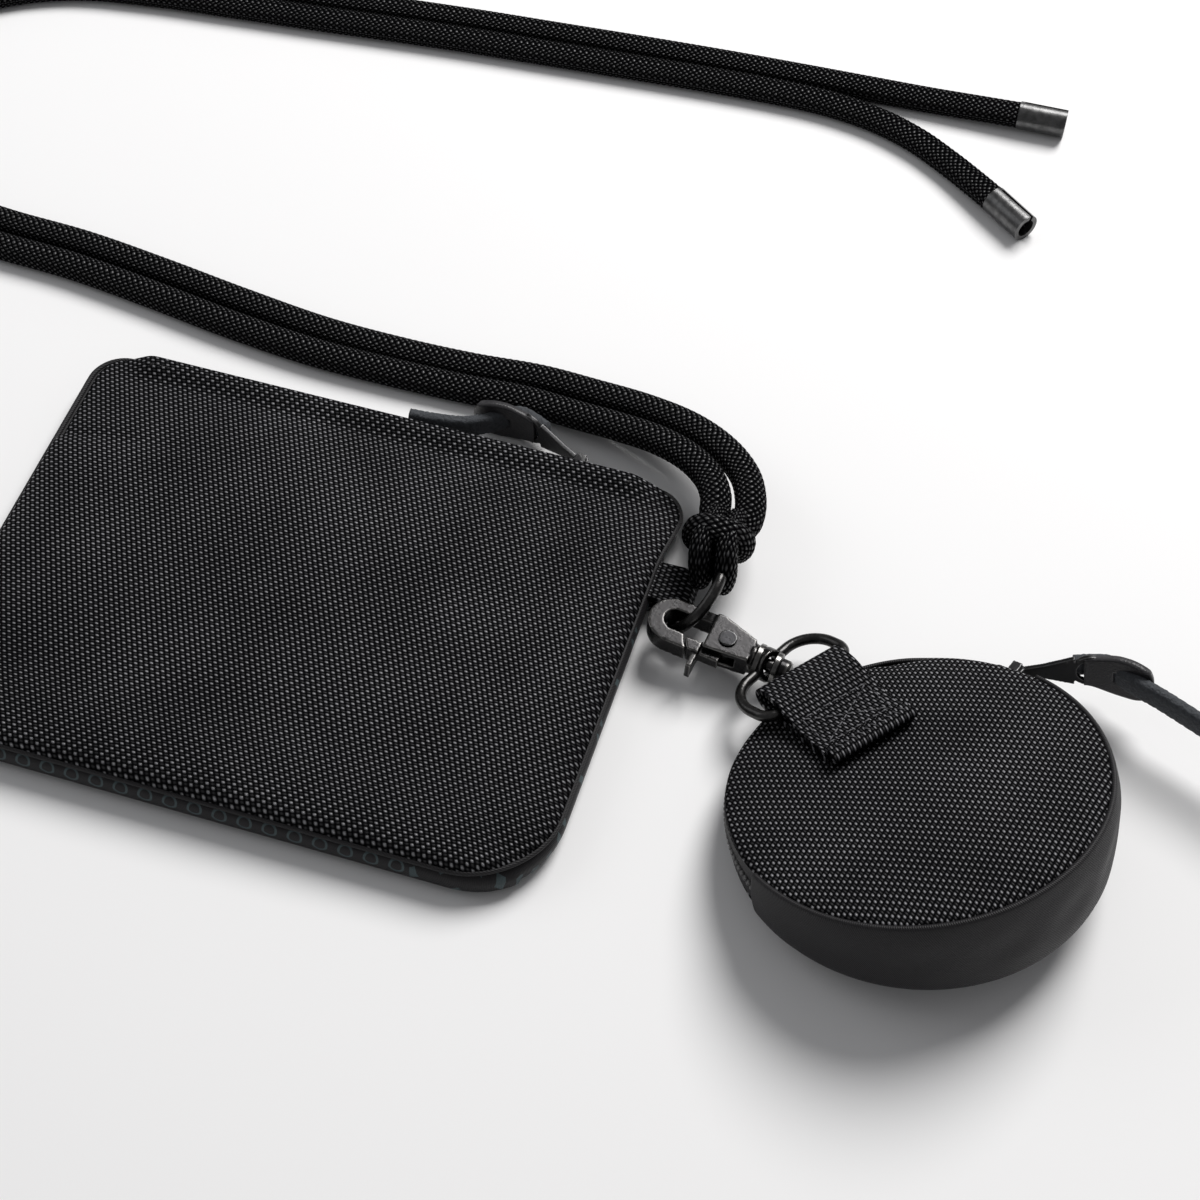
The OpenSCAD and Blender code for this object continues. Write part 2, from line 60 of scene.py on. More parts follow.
# %% Camera
TARGET = Vector((54.14, 22.70, 0)) * MM
BACK = Vector((0.1746, -0.5538, 0.8141)).normalized()
bpy.ops.object.camera_add(location=TARGET + 0.470 * BACK)
camera = bpy.context.object
camera.rotation_euler = BACK.to_track_quat("Z", "Y").to_euler()
camera.data.lens = 70.5
camera.data.sensor_width = 36
camera.data.clip_start = 0.01
bpy.context.scene.camera = camera
print("camera at", [round(c, 4) for c in camera.location])

# %% [markdown]
# ## Floor and light
# Dark cloth on a white table shows only through its highlights. One wide light behind and above
# gives each yarn a bright edge and drops soft shadows towards the viewer. A weaker one from the
# left opens the shadows, and a pale world fills the rest.

# %% Studio
def add_light(name, place, size, watts, colour):
    bpy.ops.object.light_add(type="AREA", location=place)
    lamp = bpy.context.object
    lamp.name = name
    lamp.rotation_euler = (Vector(place) - TARGET).to_track_quat("Z", "Y").to_euler()
    lamp.data.shape = "DISK"
    lamp.data.size = size
    lamp.data.energy = watts
    lamp.data.color = colour
    return lamp


add_light("window", (0.35, 0.95, 1.05), 0.8, 23, (1, 0.99, 0.98))
add_light("side_fill", (-0.9, 0.1, 0.7), 0.8, 1.6, (0.97, 0.98, 1))
world = bpy.data.worlds.new("studio")
bpy.context.scene.world = world
world.use_nodes = True
world.node_tree.nodes["Background"].inputs["Color"].default_value = (0.98, 0.98, 1, 1)
world.node_tree.nodes["Background"].inputs["Strength"].default_value = 0.22
bpy.context.scene.view_settings.view_transform = "Standard"
bpy.ops.mesh.primitive_plane_add(size=6, location=(0, 0, 0))
floor = bpy.context.object
floor.name = "table"

# %% [markdown]
# ## Node sums as Python
# A weave is arithmetic on two lengths, one along each yarn. `Sock` wraps a node's output so that
# sums can be written as sums, and `Finish.node` adds any other node.

# %% Shader helpers
class Sock:
    """A node's output that can stand in a sum."""

    def __init__(self, finish, socket):
        self.finish, self.socket = finish, socket

    def math(self, operation, *others):
        inputs = {i: v for i, v in enumerate((self, *others))}
        return self.finish.node("Math", {"operation": operation}, inputs)

    def __add__(self, other):
        return self.math("ADD", other)

    def __radd__(self, other):
        return self.math("ADD", other)

    def __sub__(self, other):
        return self.math("SUBTRACT", other)

    def __rsub__(self, other):
        return (self * -1) + other

    def __mul__(self, other):
        return self.math("MULTIPLY", other)

    def __rmul__(self, other):
        return self.math("MULTIPLY", other)

    def __truediv__(self, other):
        return self.math("DIVIDE", other)

    def __pow__(self, other):
        return self.math("POWER", other)


class Finish:
    """One material, with its shader and the nodes that feed it."""

    def __init__(self, name, **constants):
        self.material = bpy.data.materials.new(name)
        self.material.use_nodes = True
        self.tree = self.material.node_tree
        self.shader = self.tree.nodes["Principled BSDF"]
        for socket, value in constants.items():
            self.shader.inputs[socket.replace("_", " ")].default_value = value

    def node(self, kind, settings, inputs, out=0):
        made = self.tree.nodes.new("ShaderNode" + kind)
        for key, value in settings.items():
            setattr(made, key, value)
        for key, value in inputs.items():
            if isinstance(value, Sock):
                self.tree.links.new(value.socket, made.inputs[key])
            else:
                made.inputs[key].default_value = value
        return Sock(self, made.outputs[out])

    def put(self, socket, value):
        self.tree.links.new(value.socket, self.shader.inputs[socket])

    def paint_hollow_shade(self, mask, colour):
        """Where mask is 0, a matt shader without gloss shows: painted shade in the hollows between the
        yarns.
        """
        matt = self.tree.nodes.new("ShaderNodeBsdfPrincipled")
        matt.inputs["Base Color"].default_value = (*colour, 1)
        matt.inputs["Roughness"].default_value = 1
        matt.inputs["Specular IOR Level"].default_value = 0
        mixer = self.tree.nodes.new("ShaderNodeMixShader")
        self.tree.links.new(mask.socket, mixer.inputs[0])
        self.tree.links.new(matt.outputs[0], mixer.inputs[1])
        self.tree.links.new(self.shader.outputs[0], mixer.inputs[2])
        output = self.tree.nodes["Material Output"]
        self.tree.links.new(mixer.outputs[0], output.inputs["Surface"])

    def lengths(self):
        """The piece's own UV map, in metres."""
        uv = self.node("UVMap", {"uv_map": "lengths"}, {})
        parts = self.tree.nodes.new("ShaderNodeSeparateXYZ")
        self.tree.links.new(uv.socket, parts.inputs[0])
        return Sock(self, parts.outputs[0]), Sock(self, parts.outputs[1])

    def place(self):
        return Sock(self, self.tree.nodes.new("ShaderNodeTexCoord").outputs["Object"])

    def noise(self, scale, detail=3, stretch=None):
        where = self.place()
        if stretch:
            where = self.node("Mapping", {}, {"Vector": where, "Scale": stretch})
        return self.node("TexNoise", {}, {"Vector": where, "Scale": scale, "Detail": detail})

    def mix(self, factor, dark, bright):
        colours = {"Factor": factor, "A": dark, "B": bright}
        made = self.tree.nodes.new("ShaderNodeMix")
        made.data_type = "RGBA"
        for socket, key in ((made.inputs[0], "Factor"), (made.inputs[6], "A"), (made.inputs[7], "B")):
            value = colours[key]
            if isinstance(value, Sock):
                self.tree.links.new(value.socket, socket)
            else:
                socket.default_value = value if key == "Factor" else (*value, 1)
        return Sock(self, made.outputs[2])

    def bump(self, height, depth, strength=1.0):
        made = self.node("Bump", {}, {"Height": height, "Distance": depth, "Strength": strength})
        self.put("Normal", made)


def weave(u, v, cell_u, cell_v, dull=0.8):
    """Height of a plain weave: yarns one way and the other take turns on top."""
    a, b = u / cell_u, v / cell_v
    arch_a = (a.math("FRACT") * math.pi).math("SINE")
    arch_b = (b.math("FRACT") * math.pi).math("SINE")
    turn = ((a.math("FLOOR") + b.math("FLOOR")) * 0.5).math("FRACT") * 2
    upright = (arch_a ** 0.6) * (arch_b * 0.5 + 0.5)
    level = (arch_b ** 0.6) * (arch_a * 0.5 + 0.5) * dull
    return turn * upright + (1 - turn) * level


print("weave helper ready")

# %% [markdown]
# ## The finishes
# Black pieces differ in how they break the light. Ballistic nylon is a coarse weave whose yarns
# glint, twill is smooth with a fine slanted rib, webbing and cord are thick glossy yarns, leather
# is grained outside and fuzzy where it is cut, and the metal is dark with bright worn edges.

# %% Cloth finishes
def nylon_finish():
    """Long grains of two crossing yarns, turned a little against the piece's own edges. The yarn tops
    carry a painted glint in the base colour, and painted shade lies between them.
    """
    f = Finish("ballistic_nylon", Specular_IOR_Level=0.45)
    u, v = f.lengths()
    turned_u, turned_v = u + v * 0.087, v - u * 0.087
    height = weave(turned_u + turned_v * 0.4, turned_v, 1.08 * MM, 0.66 * MM, 0.62)
    shade = f.noise(60) * 0.8 + 0.5
    # Painted glint: the base colour turns pale grey on the yarn tops, its strength varied at random by
    # shade.
    f.put("Base Color", f.mix((height ** 3) * shade, (0.002, 0.002, 0.0025), (0.25, 0.25, 0.265)))
    f.put("Roughness", 0.6 - height * 0.24)
    f.bump(height + f.noise(3500) * 0.15, 0.4 * MM)
    # Painted shade: a matt black shader shows in the hollows between the yarns.
    f.paint_hollow_shade((height ** 3) * shade * 1.8, (0.002, 0.002, 0.0025))
    return f.material


def twill_finish(name, marks):
    """Fine slanted rib. With marks, rings are printed on it, and slanted dashes towards the right."""
    f = Finish(name, Specular_IOR_Level=0.3)
    u, v = f.lengths()
    rib = ((u + v * 0.6) * (2 * math.pi / (0.42 * MM))).math("SINE") * 0.5 + 0.5
    cloth = f.mix(rib * 0.6 + f.noise(90) * 0.3, (0.007, 0.0065, 0.0075), (0.016, 0.015, 0.017))
    if marks:
        pitch, ring_r, line = 5, 1.3, 0.24
        ring_u = ((u / (pitch * MM)).math("FRACT") - 0.5) * pitch
        ring_v = ((v / (pitch * MM)).math("FRACT") - 0.5) * pitch
        radius = (ring_u * ring_u + ring_v * ring_v).math("SQRT")
        ring = (radius - ring_r).math("ABSOLUTE").math("LESS_THAN", line)
        slant = ((v + u * 0.5) / (6.5 * MM)).math("FRACT").math("LESS_THAN", 0.42)
        column = ((u * 1.3 - v * 0.4) / (9 * MM)).math("FRACT").math("LESS_THAN", 0.3)
        right = u.math("GREATER_THAN", 40 * MM)
        printed = right * slant * column + (1 - right) * ring
        cloth = f.mix(printed, cloth, (0.055, 0.078, 0.084))
    f.put("Base Color", cloth)
    f.put("Roughness", 0.62 - rib * 0.12)
    f.bump(rib + f.noise(500) * 0.8, 0.05 * MM)
    return f.material


def webbing_finish():
    f = Finish("webbing")
    u, v = f.lengths()
    height = weave(u + v * 0.15, v, 0.62 * MM, 1.15 * MM, 0.55)
    glint = (height ** 3) * (f.noise(300) + 0.3)
    # Painted glint: the base colour turns grey on the yarn tops.
    f.put("Base Color", f.mix(glint, (0.003, 0.003, 0.004), (0.22, 0.22, 0.235)))
    f.put("Roughness", 0.6 - height * 0.28)
    f.bump(height, 0.35 * MM)
    # Painted shade: a matt black shader shows in the hollows between the yarns.
    f.paint_hollow_shade((height ** 2.5) * 1.6, (0.0015, 0.0015, 0.002))
    return f.material


# A braid's yarns run BRAID_SLANT mm along the cord for each mm round it. BRAID_CELL is the
# pattern's step, in millimetres.
BRAID_SLANT, BRAID_CELL = 1.25, 1.45


def braid_finish():
    """The braid's yarns run both ways round the cord at a slant."""
    f = Finish("cord")
    u, v = f.lengths()
    slanted = u * BRAID_SLANT
    height = weave(v + slanted, v - slanted, BRAID_CELL * MM, BRAID_CELL * MM, 0.85)
    glint = (height ** 4) * (f.noise(250) + 0.2)
    # Painted glint: the base colour lightens on the yarn tops.
    f.put("Base Color", f.mix(glint, (0.002, 0.002, 0.0024), (0.06, 0.06, 0.064)))
    f.put("Roughness", 0.58 - height * 0.25)
    f.bump(height + f.noise(2500) * 0.1, 0.5 * MM)
    # Painted shade: a matt black shader shows in the hollows between the yarns.
    f.paint_hollow_shade((height ** 4) * 1.2, (0.0012, 0.0012, 0.0015))
    return f.material


# %% Leather, metal, plastic and thread finishes
def leather_finish(name, dark, bright, rough, fibre):
    f = Finish(name)
    scale = (1, 1, 1) if fibre else None
    grain = f.node("TexVoronoi", {"feature": "DISTANCE_TO_EDGE"}, {"Vector": f.place(), "Scale": 1400.0})
    fibres = f.noise(1500, 6, scale)
    f.put("Base Color", f.mix(fibres, dark, bright))
    f.put("Roughness", rough + fibres * 0.15)
    f.bump(fibres if fibre else grain * 900 * MM + f.noise(400) * 0.4, (0.5 if fibre else 0.12) * MM)
    return f.material


def metal_finish(name, dark, bright, rough):
    """Dark plating that has rubbed through to brighter metal on its edges."""
    f = Finish(name, Metallic=0.92)
    point = Sock(f, f.tree.nodes.new("ShaderNodeNewGeometry").outputs["Pointiness"])
    worn = f.node("ValToRGB", {}, {"Fac": point})
    ramp = worn.socket.node.color_ramp
    ramp.elements[0].position, ramp.elements[1].position = 0.505, 0.545
    rub = f.noise(700, 5)
    edge = worn.math("MULTIPLY", rub * 1.2)
    f.put("Base Color", f.mix(edge, dark, bright))
    f.put("Roughness", rough + rub * 0.16 - edge * 0.1)
    f.bump(f.noise(1800, 4), 0.03 * MM)
    return f.material


def plain_finish(name, dark, bright, rough, scale):
    f = Finish(name)
    mottle = f.noise(scale, 4)
    f.put("Base Color", f.mix(mottle, dark, bright))
    f.put("Roughness", rough + mottle * 0.1)
    f.bump(mottle, 0.06 * MM)
    return f.material


NYLON = nylon_finish()
TWILL = twill_finish("black_twill", False)
PRINTED = twill_finish("printed_twill", True)
TAPE = twill_finish("zip_tape", False)
WEBBING = webbing_finish()
BRAID = braid_finish()
GRAIN = leather_finish("leather_grain", (0.012, 0.012, 0.014), (0.03, 0.028, 0.031), 0.38, False)
FLESH = leather_finish("leather_flesh", (0.012, 0.013, 0.016), (0.075, 0.082, 0.092), 0.75, True)
CUT_EDGE = leather_finish("leather_edge", (0.06, 0.072, 0.085), (0.26, 0.3, 0.33), 0.8, True)
GUNMETAL = metal_finish("gunmetal", (0.02, 0.0195, 0.02), (0.23, 0.225, 0.217), 0.2)
DARK_STEEL = metal_finish("dark_steel", (0.014, 0.014, 0.015), (0.17, 0.17, 0.17), 0.22)
BLACK_PLATE = metal_finish("black_plate", (0.02, 0.02, 0.021), (0.16, 0.16, 0.16), 0.3)
COIL = plain_finish("coil", (0.03, 0.03, 0.03), (0.12, 0.12, 0.12), 0.3, 400)
THREAD = plain_finish("thread", (0.03, 0.03, 0.034), (0.12, 0.12, 0.13), 0.5, 2000)
PAPER = plain_finish("table_top", (0.86, 0.86, 0.865), (0.9, 0.9, 0.9), 0.7, 3)
floor.data.materials.append(PAPER)
print("finishes:", len([m for m in bpy.data.materials if m.use_nodes]))

# %% [markdown]
# ## Small helpers for meshes
# Operators act on what is selected, so one object at a time is selected first. A finished piece
# sits at the origin with its place in its mesh.

# %% Mesh helpers
def only(obj):
    bpy.ops.object.select_all(action="DESELECT")
    obj.select_set(True)
    bpy.context.view_layer.objects.active = obj


def apply_modifier(obj, kind, **settings):
    only(obj)
    modifier = obj.modifiers.new(kind.lower(), kind)
    for key, value in settings.items():
        setattr(modifier, key, value)
    bpy.ops.object.modifier_apply(modifier=modifier.name)


def points_of(obj):
    flat = np.empty(len(obj.data.vertices) * 3)
    obj.data.vertices.foreach_get("co", flat)
    return flat.reshape(-1, 3)


def move_points(obj, points):
    obj.data.vertices.foreach_set("co", np.asarray(points, float).ravel())
    obj.data.update()


def set_lengths(obj, u, v):
    """Writes the piece's UV map, in metres along the cloth."""
    for layer in list(obj.data.uv_layers):
        obj.data.uv_layers.remove(layer)
    layer = obj.data.uv_layers.new(name="lengths")
    index = np.empty(len(obj.data.loops), int)
    obj.data.loops.foreach_get("vertex_index", index)
    layer.data.foreach_set("uv", np.column_stack([u[index], v[index]]).ravel())


def dress(obj, body, slot, *finishes, replaces=()):
    """Gives a piece its finish, its body and the nodes it stands for. The slot argument is not used."""
    obj.data.materials.clear()
    for finish in finishes:
        obj.data.materials.append(finish)
    only(obj)
    bpy.ops.object.shade_smooth()
    if body:
        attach(obj, body)
    if replaces:
        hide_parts(*replaces)
    return obj


def grid(name, across, along):
    """A square sheet from -1 to 1, named and ready to be shaped."""
    bpy.ops.object.select_all(action="DESELECT")
    bpy.ops.mesh.primitive_grid_add(x_subdivisions=across, y_subdivisions=along, size=2)
    obj = bpy.context.object
    obj.name = name
    return obj


def ease(a, b, v):
    t = np.clip((v - a) / (b - a), 0, 1)
    return t * t * (3 - 2 * t)


def ripple(x, y, seed):
    """A smooth, repeatable wrinkle field between about -1 and 1."""
    a = np.sin(x * 91 + 1.3 * seed) * np.cos(y * 113 - seed)
    b = np.sin((x * 0.8 + y) * 170 + 2.1 * seed) * np.cos((x - y) * 140 + seed)
    c = np.sin(x * 310 - y * 260 + seed * 0.7)
    return 0.5 * a + 0.35 * b + 0.15 * c


print("mesh helpers ready")

# %% [markdown]
# ## The cords
# The doubled neck cord leaves the knot, runs along the table past the zip, turns back outside the
# view and ends in two crimped tips. A swept tube follows each route. Its section is a flattened
# round, and small steps let the braid stand out from its outline. Where a strand lies on the table
# its underside is pressed flat.

# %% Cord routes, in millimetres
CORD_W, CORD_H, FLOOR_Z, TIP_R, TIP_L = 6.4, 4.8, 2.4, 3.2, 11
ROUTE_A = [
    (72, 42, 12), (71, 46, 12), (68, 51, 11), (62.5, 55.5, 10), (55, 59, 8.5), (46, 61.5, 6.5),
    (36, 63.5, 4.5), (24, 65.3, 3), (10, 64.9, FLOOR_Z), (-6, 64.6, FLOOR_Z), (-24, 64.9, FLOOR_Z),
    (-44, 67, FLOOR_Z), (-64, 70, FLOOR_Z), (-84, 72.5, FLOOR_Z), (-104, 73.5, FLOOR_Z),
    (-122, 76, FLOOR_Z), (-140, 83, FLOOR_Z), (-153, 95, FLOOR_Z), (-160, 110, FLOOR_Z),
    (-161, 127, FLOOR_Z), (-155, 143, FLOOR_Z), (-143, 156, FLOOR_Z), (-125, 164.5, FLOOR_Z),
    (-104, 168, FLOOR_Z), (-84, 170, FLOOR_Z), (-64, 171.8, FLOOR_Z), (-44, 173.8, FLOOR_Z),
    (-24, 175.6, FLOOR_Z), (-4, 177, FLOOR_Z), (16, 178.4, FLOOR_Z), (36, 179.6, FLOOR_Z),
    (54, 180.4, FLOOR_Z), (70, 181, FLOOR_Z), (84, 181.5, FLOOR_Z), (96, 181.8, 2.8),
    (106, 182, TIP_R),
]
ROUTE_B = [
    (78.8, 42, 12), (78, 47, 12), (75, 53.5, 11), (69, 59.5, 10), (60.5, 64.5, 8.5), (50, 68, 6.5),
    (38, 70.3, 4.5), (25, 71.9, 3), (10, 71.2, FLOOR_Z), (-6, 70.8, FLOOR_Z), (-24, 71.4, FLOOR_Z),
    (-44, 73.9, FLOOR_Z), (-64, 76.9, FLOOR_Z), (-84, 79.4, FLOOR_Z), (-104, 80.4, FLOOR_Z),
    (-120, 82.7, FLOOR_Z), (-135, 88.7, FLOOR_Z), (-147, 99, FLOOR_Z), (-153, 112, FLOOR_Z),
    (-154, 126, FLOOR_Z), (-149, 139, FLOOR_Z), (-139, 149.5, FLOOR_Z), (-123, 157.5, FLOOR_Z),
    (-104, 161.1, FLOOR_Z), (-84, 163.1, FLOOR_Z), (-64, 164.9, FLOOR_Z), (-44, 166.9, FLOOR_Z),
    (-24, 168.7, FLOOR_Z), (-4, 170.1, FLOOR_Z), (16, 171.5, FLOOR_Z), (34, 172.7, FLOOR_Z),
    (50, 173.4, FLOOR_Z), (63, 173.2, FLOOR_Z), (75, 171.2, FLOOR_Z), (85, 167.5, FLOOR_Z),
    (93.5, 162.6, FLOOR_Z), (100.5, 157.6, 2.8), (106.2, 153.2, TIP_R),
]


def smooth_path(points, step):
    """Points a step apart on a smooth line through a route."""
    p = np.asarray(points, float)
    p = np.vstack([2 * p[0] - p[1], p, 2 * p[-1] - p[-2]])
    dense = []
    for i in range(1, len(p) - 2):
        for t in np.linspace(0, 1, 24, endpoint=False):
            a, b, c, d = p[i - 1:i + 3]
            dense.append(0.5 * (2 * b + (c - a) * t + (2 * a - 5 * b + 4 * c - d) * t ** 2
                + (3 * b - a - 3 * c + d) * t ** 3))
    dense = np.array(dense + [p[-2]])
    run = np.concatenate([[0], np.cumsum(np.linalg.norm(np.diff(dense, axis=0), axis=1))])
    even = np.linspace(0, run[-1], max(4, int(run[-1] / step)))
    return np.column_stack([np.interp(even, run, dense[:, k]) for k in range(3)]), run[-1]


def tube(name, points, half_w, half_h, around=28, step=0.5, relief=0.0, power=2.0, upright=(0, 0, 1)):
    """Sweeps a flattened section along a route, all in millimetres."""
    path, length = smooth_path(points, step)
    ahead = np.gradient(path, axis=0)
    ahead /= np.linalg.norm(ahead, axis=1)[:, None]
    side = np.cross(ahead, upright)
    side /= np.linalg.norm(side, axis=1)[:, None]
    up = np.cross(side, ahead)
    turn = np.linspace(0, 2 * np.pi, around, endpoint=False)
    cos, sin = np.cos(turn), np.sin(turn)
    flat_cos = np.sign(cos) * np.abs(cos) ** (2 / power)
    flat_sin = np.sign(sin) * np.abs(sin) ** (2 / power)
    run = np.linspace(0, length, len(path))
    girth = math.pi * (half_w + half_h)
    u = turn / (2 * np.pi) * girth
    across, along = BRAID_SLANT * u, run[:, None]
    pattern = (np.sin((along + across) * math.pi / BRAID_CELL)
        * np.sin((along - across) * math.pi / BRAID_CELL))
    swell = 1 + relief * np.abs(pattern)
    ring = path[:, None, :] + swell[..., None] * (side[:, None, :] * (flat_cos * half_w)[None, :, None]
        + up[:, None, :] * (flat_sin * half_h)[None, :, None])
    n = len(path)
    faces = [(i * around + k, i * around + (k + 1) % around, (i + 1) * around + (k + 1) % around,
        (i + 1) * around + k) for i in range(n - 1) for k in range(around)]
    faces += [tuple(reversed(range(around))), tuple((n - 1) * around + k for k in range(around))]
    mesh = bpy.data.meshes.new(name)
    mesh.from_pydata((ring.reshape(-1, 3) * MM).tolist(), [], faces)
    obj = bpy.data.objects.new(name, mesh)
    bpy.context.collection.objects.link(obj)
    layer = mesh.uv_layers.new(name="lengths")
    index = np.empty(len(mesh.loops), int)
    mesh.loops.foreach_get("vertex_index", index)
    column, row = index % around, index // around
    face_starts = [face.loop_start for face in mesh.polygons]
    starts = np.repeat(face_starts, [face.loop_total for face in mesh.polygons])
    last_column = np.maximum.reduceat(column, face_starts)[np.searchsorted(face_starts, starts)]
    wraps = (column == 0) & (last_column == around - 1)
    uv = np.column_stack([np.where(wraps, girth, u[column]) * MM, run[row] * MM])
    layer.data.foreach_set("uv", uv.ravel())
    only(obj)
    bpy.ops.object.mode_set(mode="EDIT")
    bpy.ops.mesh.select_all(action="SELECT")
    bpy.ops.mesh.normals_make_consistent(inside=False)
    bpy.ops.object.mode_set(mode="OBJECT")
    return obj, path * MM, length * MM


# %% Two strands with their tips
def cord_end(route):
    end, before = np.array(route[-1], float), np.array(route[-2], float)
    heading = (end - before) * (1, 1, 0)
    return end, heading / np.linalg.norm(heading)


strands = []
for label, route in (("a", ROUTE_A), ("b", ROUTE_B)):
    lead = [(route[0][0] + (1 if label == "a" else -1), 38.5, 12.2)]
    strand, path, length = tube("cord_strand_" + label, lead + route, CORD_W / 2 - 0.15, CORD_H / 2 - 0.1,
        around=30, step=0.48, relief=0.07, power=2.5)
    resting = points_of(strand)
    resting[:, 2] = np.maximum(resting[:, 2], 0)
    move_points(strand, resting)
    end, heading = cord_end(route)
    core_start, core_end = end - heading * 0.5, end + heading * (TIP_L - 1.5)
    core, _, _ = tube("cord_end_" + label, [core_start, (core_start + core_end) / 2, core_end],
        1.9, 1.9, around=20, step=0.3, relief=0.1)
    dress(core, "pouch", "cord", BRAID)
    dress(strand, None, "cord", BRAID, replaces=["cord_tail_" + label])
    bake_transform(strand)
    strands.append((strand, path, length, core))
    triangles = sum(len(face.vertices) - 2 for face in strand.data.polygons)
    print(strand.name, "is", round(length, 3), "m long,", triangles, "triangles")

# %% [markdown]
# ## The main pouch
# Each face is one sheet of cloth, full between its seams. A grid is rounded at its corners and
# given its crown by formula. A short cloth simulation with the rim pinned then eases the nylon by
# a fraction of a millimetre, and how far a point may move is capped, so the size stays.

# %% A sheet between rounded seams
def rounded_sheet(name, half_w, half_d, radius_top, radius_low, across, along):
    """A flat sheet with round corners. s and t run from -1 to 1 over it, whatever its outline."""
    obj = grid(name, across, along)
    p = points_of(obj)
    s, t = p[:, 0].copy(), p[:, 1].copy()
    x, y = s * half_w, t * half_d
    radius = np.where(t > 0, radius_top, radius_low)
    past_x, past_y = np.maximum(np.abs(x) - half_w + radius, 0), np.maximum(np.abs(y) - half_d + radius, 0)
    square, circle = np.maximum(past_x, past_y), np.hypot(past_x, past_y)
    pull = np.where(circle > 0, square / np.maximum(circle, 1e-9), 1)
    x = np.sign(x) * (np.abs(x) - past_x + past_x * pull)
    y = np.sign(y) * (np.abs(y) - past_y + past_y * pull)
    return obj, x, y, s, t


def ease_out(obj, pinned, pressure, cap, frames=20):
    """Eases a sheet with Cloth under a little pressure while its rim holds, within cap."""
    start = points_of(obj)
    only(obj)
    group = obj.vertex_groups.new(name="pin")
    group.add([int(i) for i in np.nonzero(pinned)[0]], 1.0, "REPLACE")
    modifier = obj.modifiers.new("cloth", "CLOTH")
    modifier.settings.vertex_group_mass = "pin"
    modifier.settings.use_pressure = True
    modifier.settings.uniform_pressure_force = pressure
    modifier.settings.effector_weights.gravity = 0
    modifier.settings.quality = 5
    modifier.settings.tension_stiffness = 20
    modifier.settings.bending_stiffness = 0.6
    scene = bpy.context.scene
    for number in range(1, frames + 1):
        scene.frame_set(number)
    settled = obj.evaluated_get(bpy.context.evaluated_depsgraph_get())
    flat = np.empty(len(settled.data.vertices) * 3)
    settled.data.vertices.foreach_get("co", flat)
    shift = flat.reshape(-1, 3) - start
    obj.modifiers.remove(modifier)
    obj.vertex_groups.clear()
    scene.frame_set(1)
    size = np.linalg.norm(shift, axis=1)
    limit = np.where(size > 0, cap * np.tanh(size / cap) / np.maximum(size, 1e-12), 1)
    move_points(obj, start + shift * limit[:, None])
    print(obj.name, "moved up to", round(float((size * limit).max()) * 1000, 2), "mm")


HALF_W, HALF_D, SEAM_Z = 65 * MM, 49 * MM, 5 * MM
ZIP_ROOM = 3.2 * MM


def zip_gap(x, y):
    """How far each face stands off the seam to leave room for the zip."""
    return ZIP_ROOM * ease(HALF_D - 6 * MM, HALF_D - 0.5 * MM, y) * (1 - ease(52 * MM, 61 * MM, np.abs(x)))


# %% Front and back faces
# The back cloth's wall along the bottom and right: how far in from the sheet's edge, how far the
# wall bulges out there, and its height above the table. The front's rim and the seam lie EDGE_IN
# further in and EDGE_UP higher on those sides. CORNER_TOP and CORNER_LOW are the corners' radii.
# WALL_AT is a share, the rest is in millimetres.
WALL_AT = (0, 0.017, 0.034, 0.05, 0.067, 0.083, 0.1, 0.2)
WALL_OUT = (-1.3, 0.7, 1.8, 2.4, 2.5, 2.0, 1.4, 0)
WALL_Z = (6.1, 4.5, 3.0, 1.6, 0.6, 0.12, 0.06, 0.06)
EDGE_IN, EDGE_UP = 1.3, 1.2
CORNER_TOP, CORNER_LOW = 7, 18


def turned_edge(x, y):
    """How far each point belongs to the bottom and right edges, where the back cloth turns up."""
    right = ease(0.55, 0.98, x / HALF_W) * (1 - ease(0.6, 0.9, y / HALF_D))
    low = ease(0.55, 0.98, -y / HALF_D)
    return right, low, 1 - (1 - right) * (1 - low)


def front_face():
    obj, x, y, s, t = rounded_sheet("pouch_front", HALF_W, HALF_D,
        CORNER_TOP * MM, CORNER_LOW * MM, 150, 114)
    plump = ((1 - np.abs(s) ** 9) * (1 - np.abs(t) ** 9)) ** 0.5
    crown = (1 - 0.35 * s ** 2) * (1 - 0.25 * t ** 2)
    zip_side = np.clip(t, 0, 1)
    slope = (1 - zip_side ** 4) * (t > 0) + (t <= 0)
    z = SEAM_Z + 0.4 * MM + 6.0 * MM * plump * crown * slope + zip_gap(x, y)
    z += 0.35 * MM * plump * ripple(x, y, 1.0)
    notch = ease(24.6 * MM, 26 * MM, y) * ease(-52 * MM, -63 * MM, x)
    x = x + 1.3 * MM * notch
    crease_y = 25 * MM + 0.06 * (x + HALF_W)
    crease = np.exp(-((y - crease_y) / (1.6 * MM)) ** 2) * ease(-5 * MM, -62 * MM, x)
    z = z - 0.55 * MM * crease
    hem = np.exp(-((y - 37.5 * MM) / (0.9 * MM)) ** 2) * plump
    right, low, turned = turned_edge(x, y)
    z = z - 0.22 * MM * hem + EDGE_UP * MM * turned
    move_points(obj, np.column_stack([x - EDGE_IN * MM * right, y + EDGE_IN * MM * low, z]))
    set_lengths(obj, x, y)
    ease_out(obj, (np.abs(s) > 0.97) | (np.abs(t) > 0.965), 0.6, 0.7 * MM)
    apply_modifier(obj, "SOLIDIFY", thickness=1.0 * MM, offset=-1)
    dress(obj, "pouch", "ballistic_nylon", NYLON, replaces=["front_panel"])
    return obj


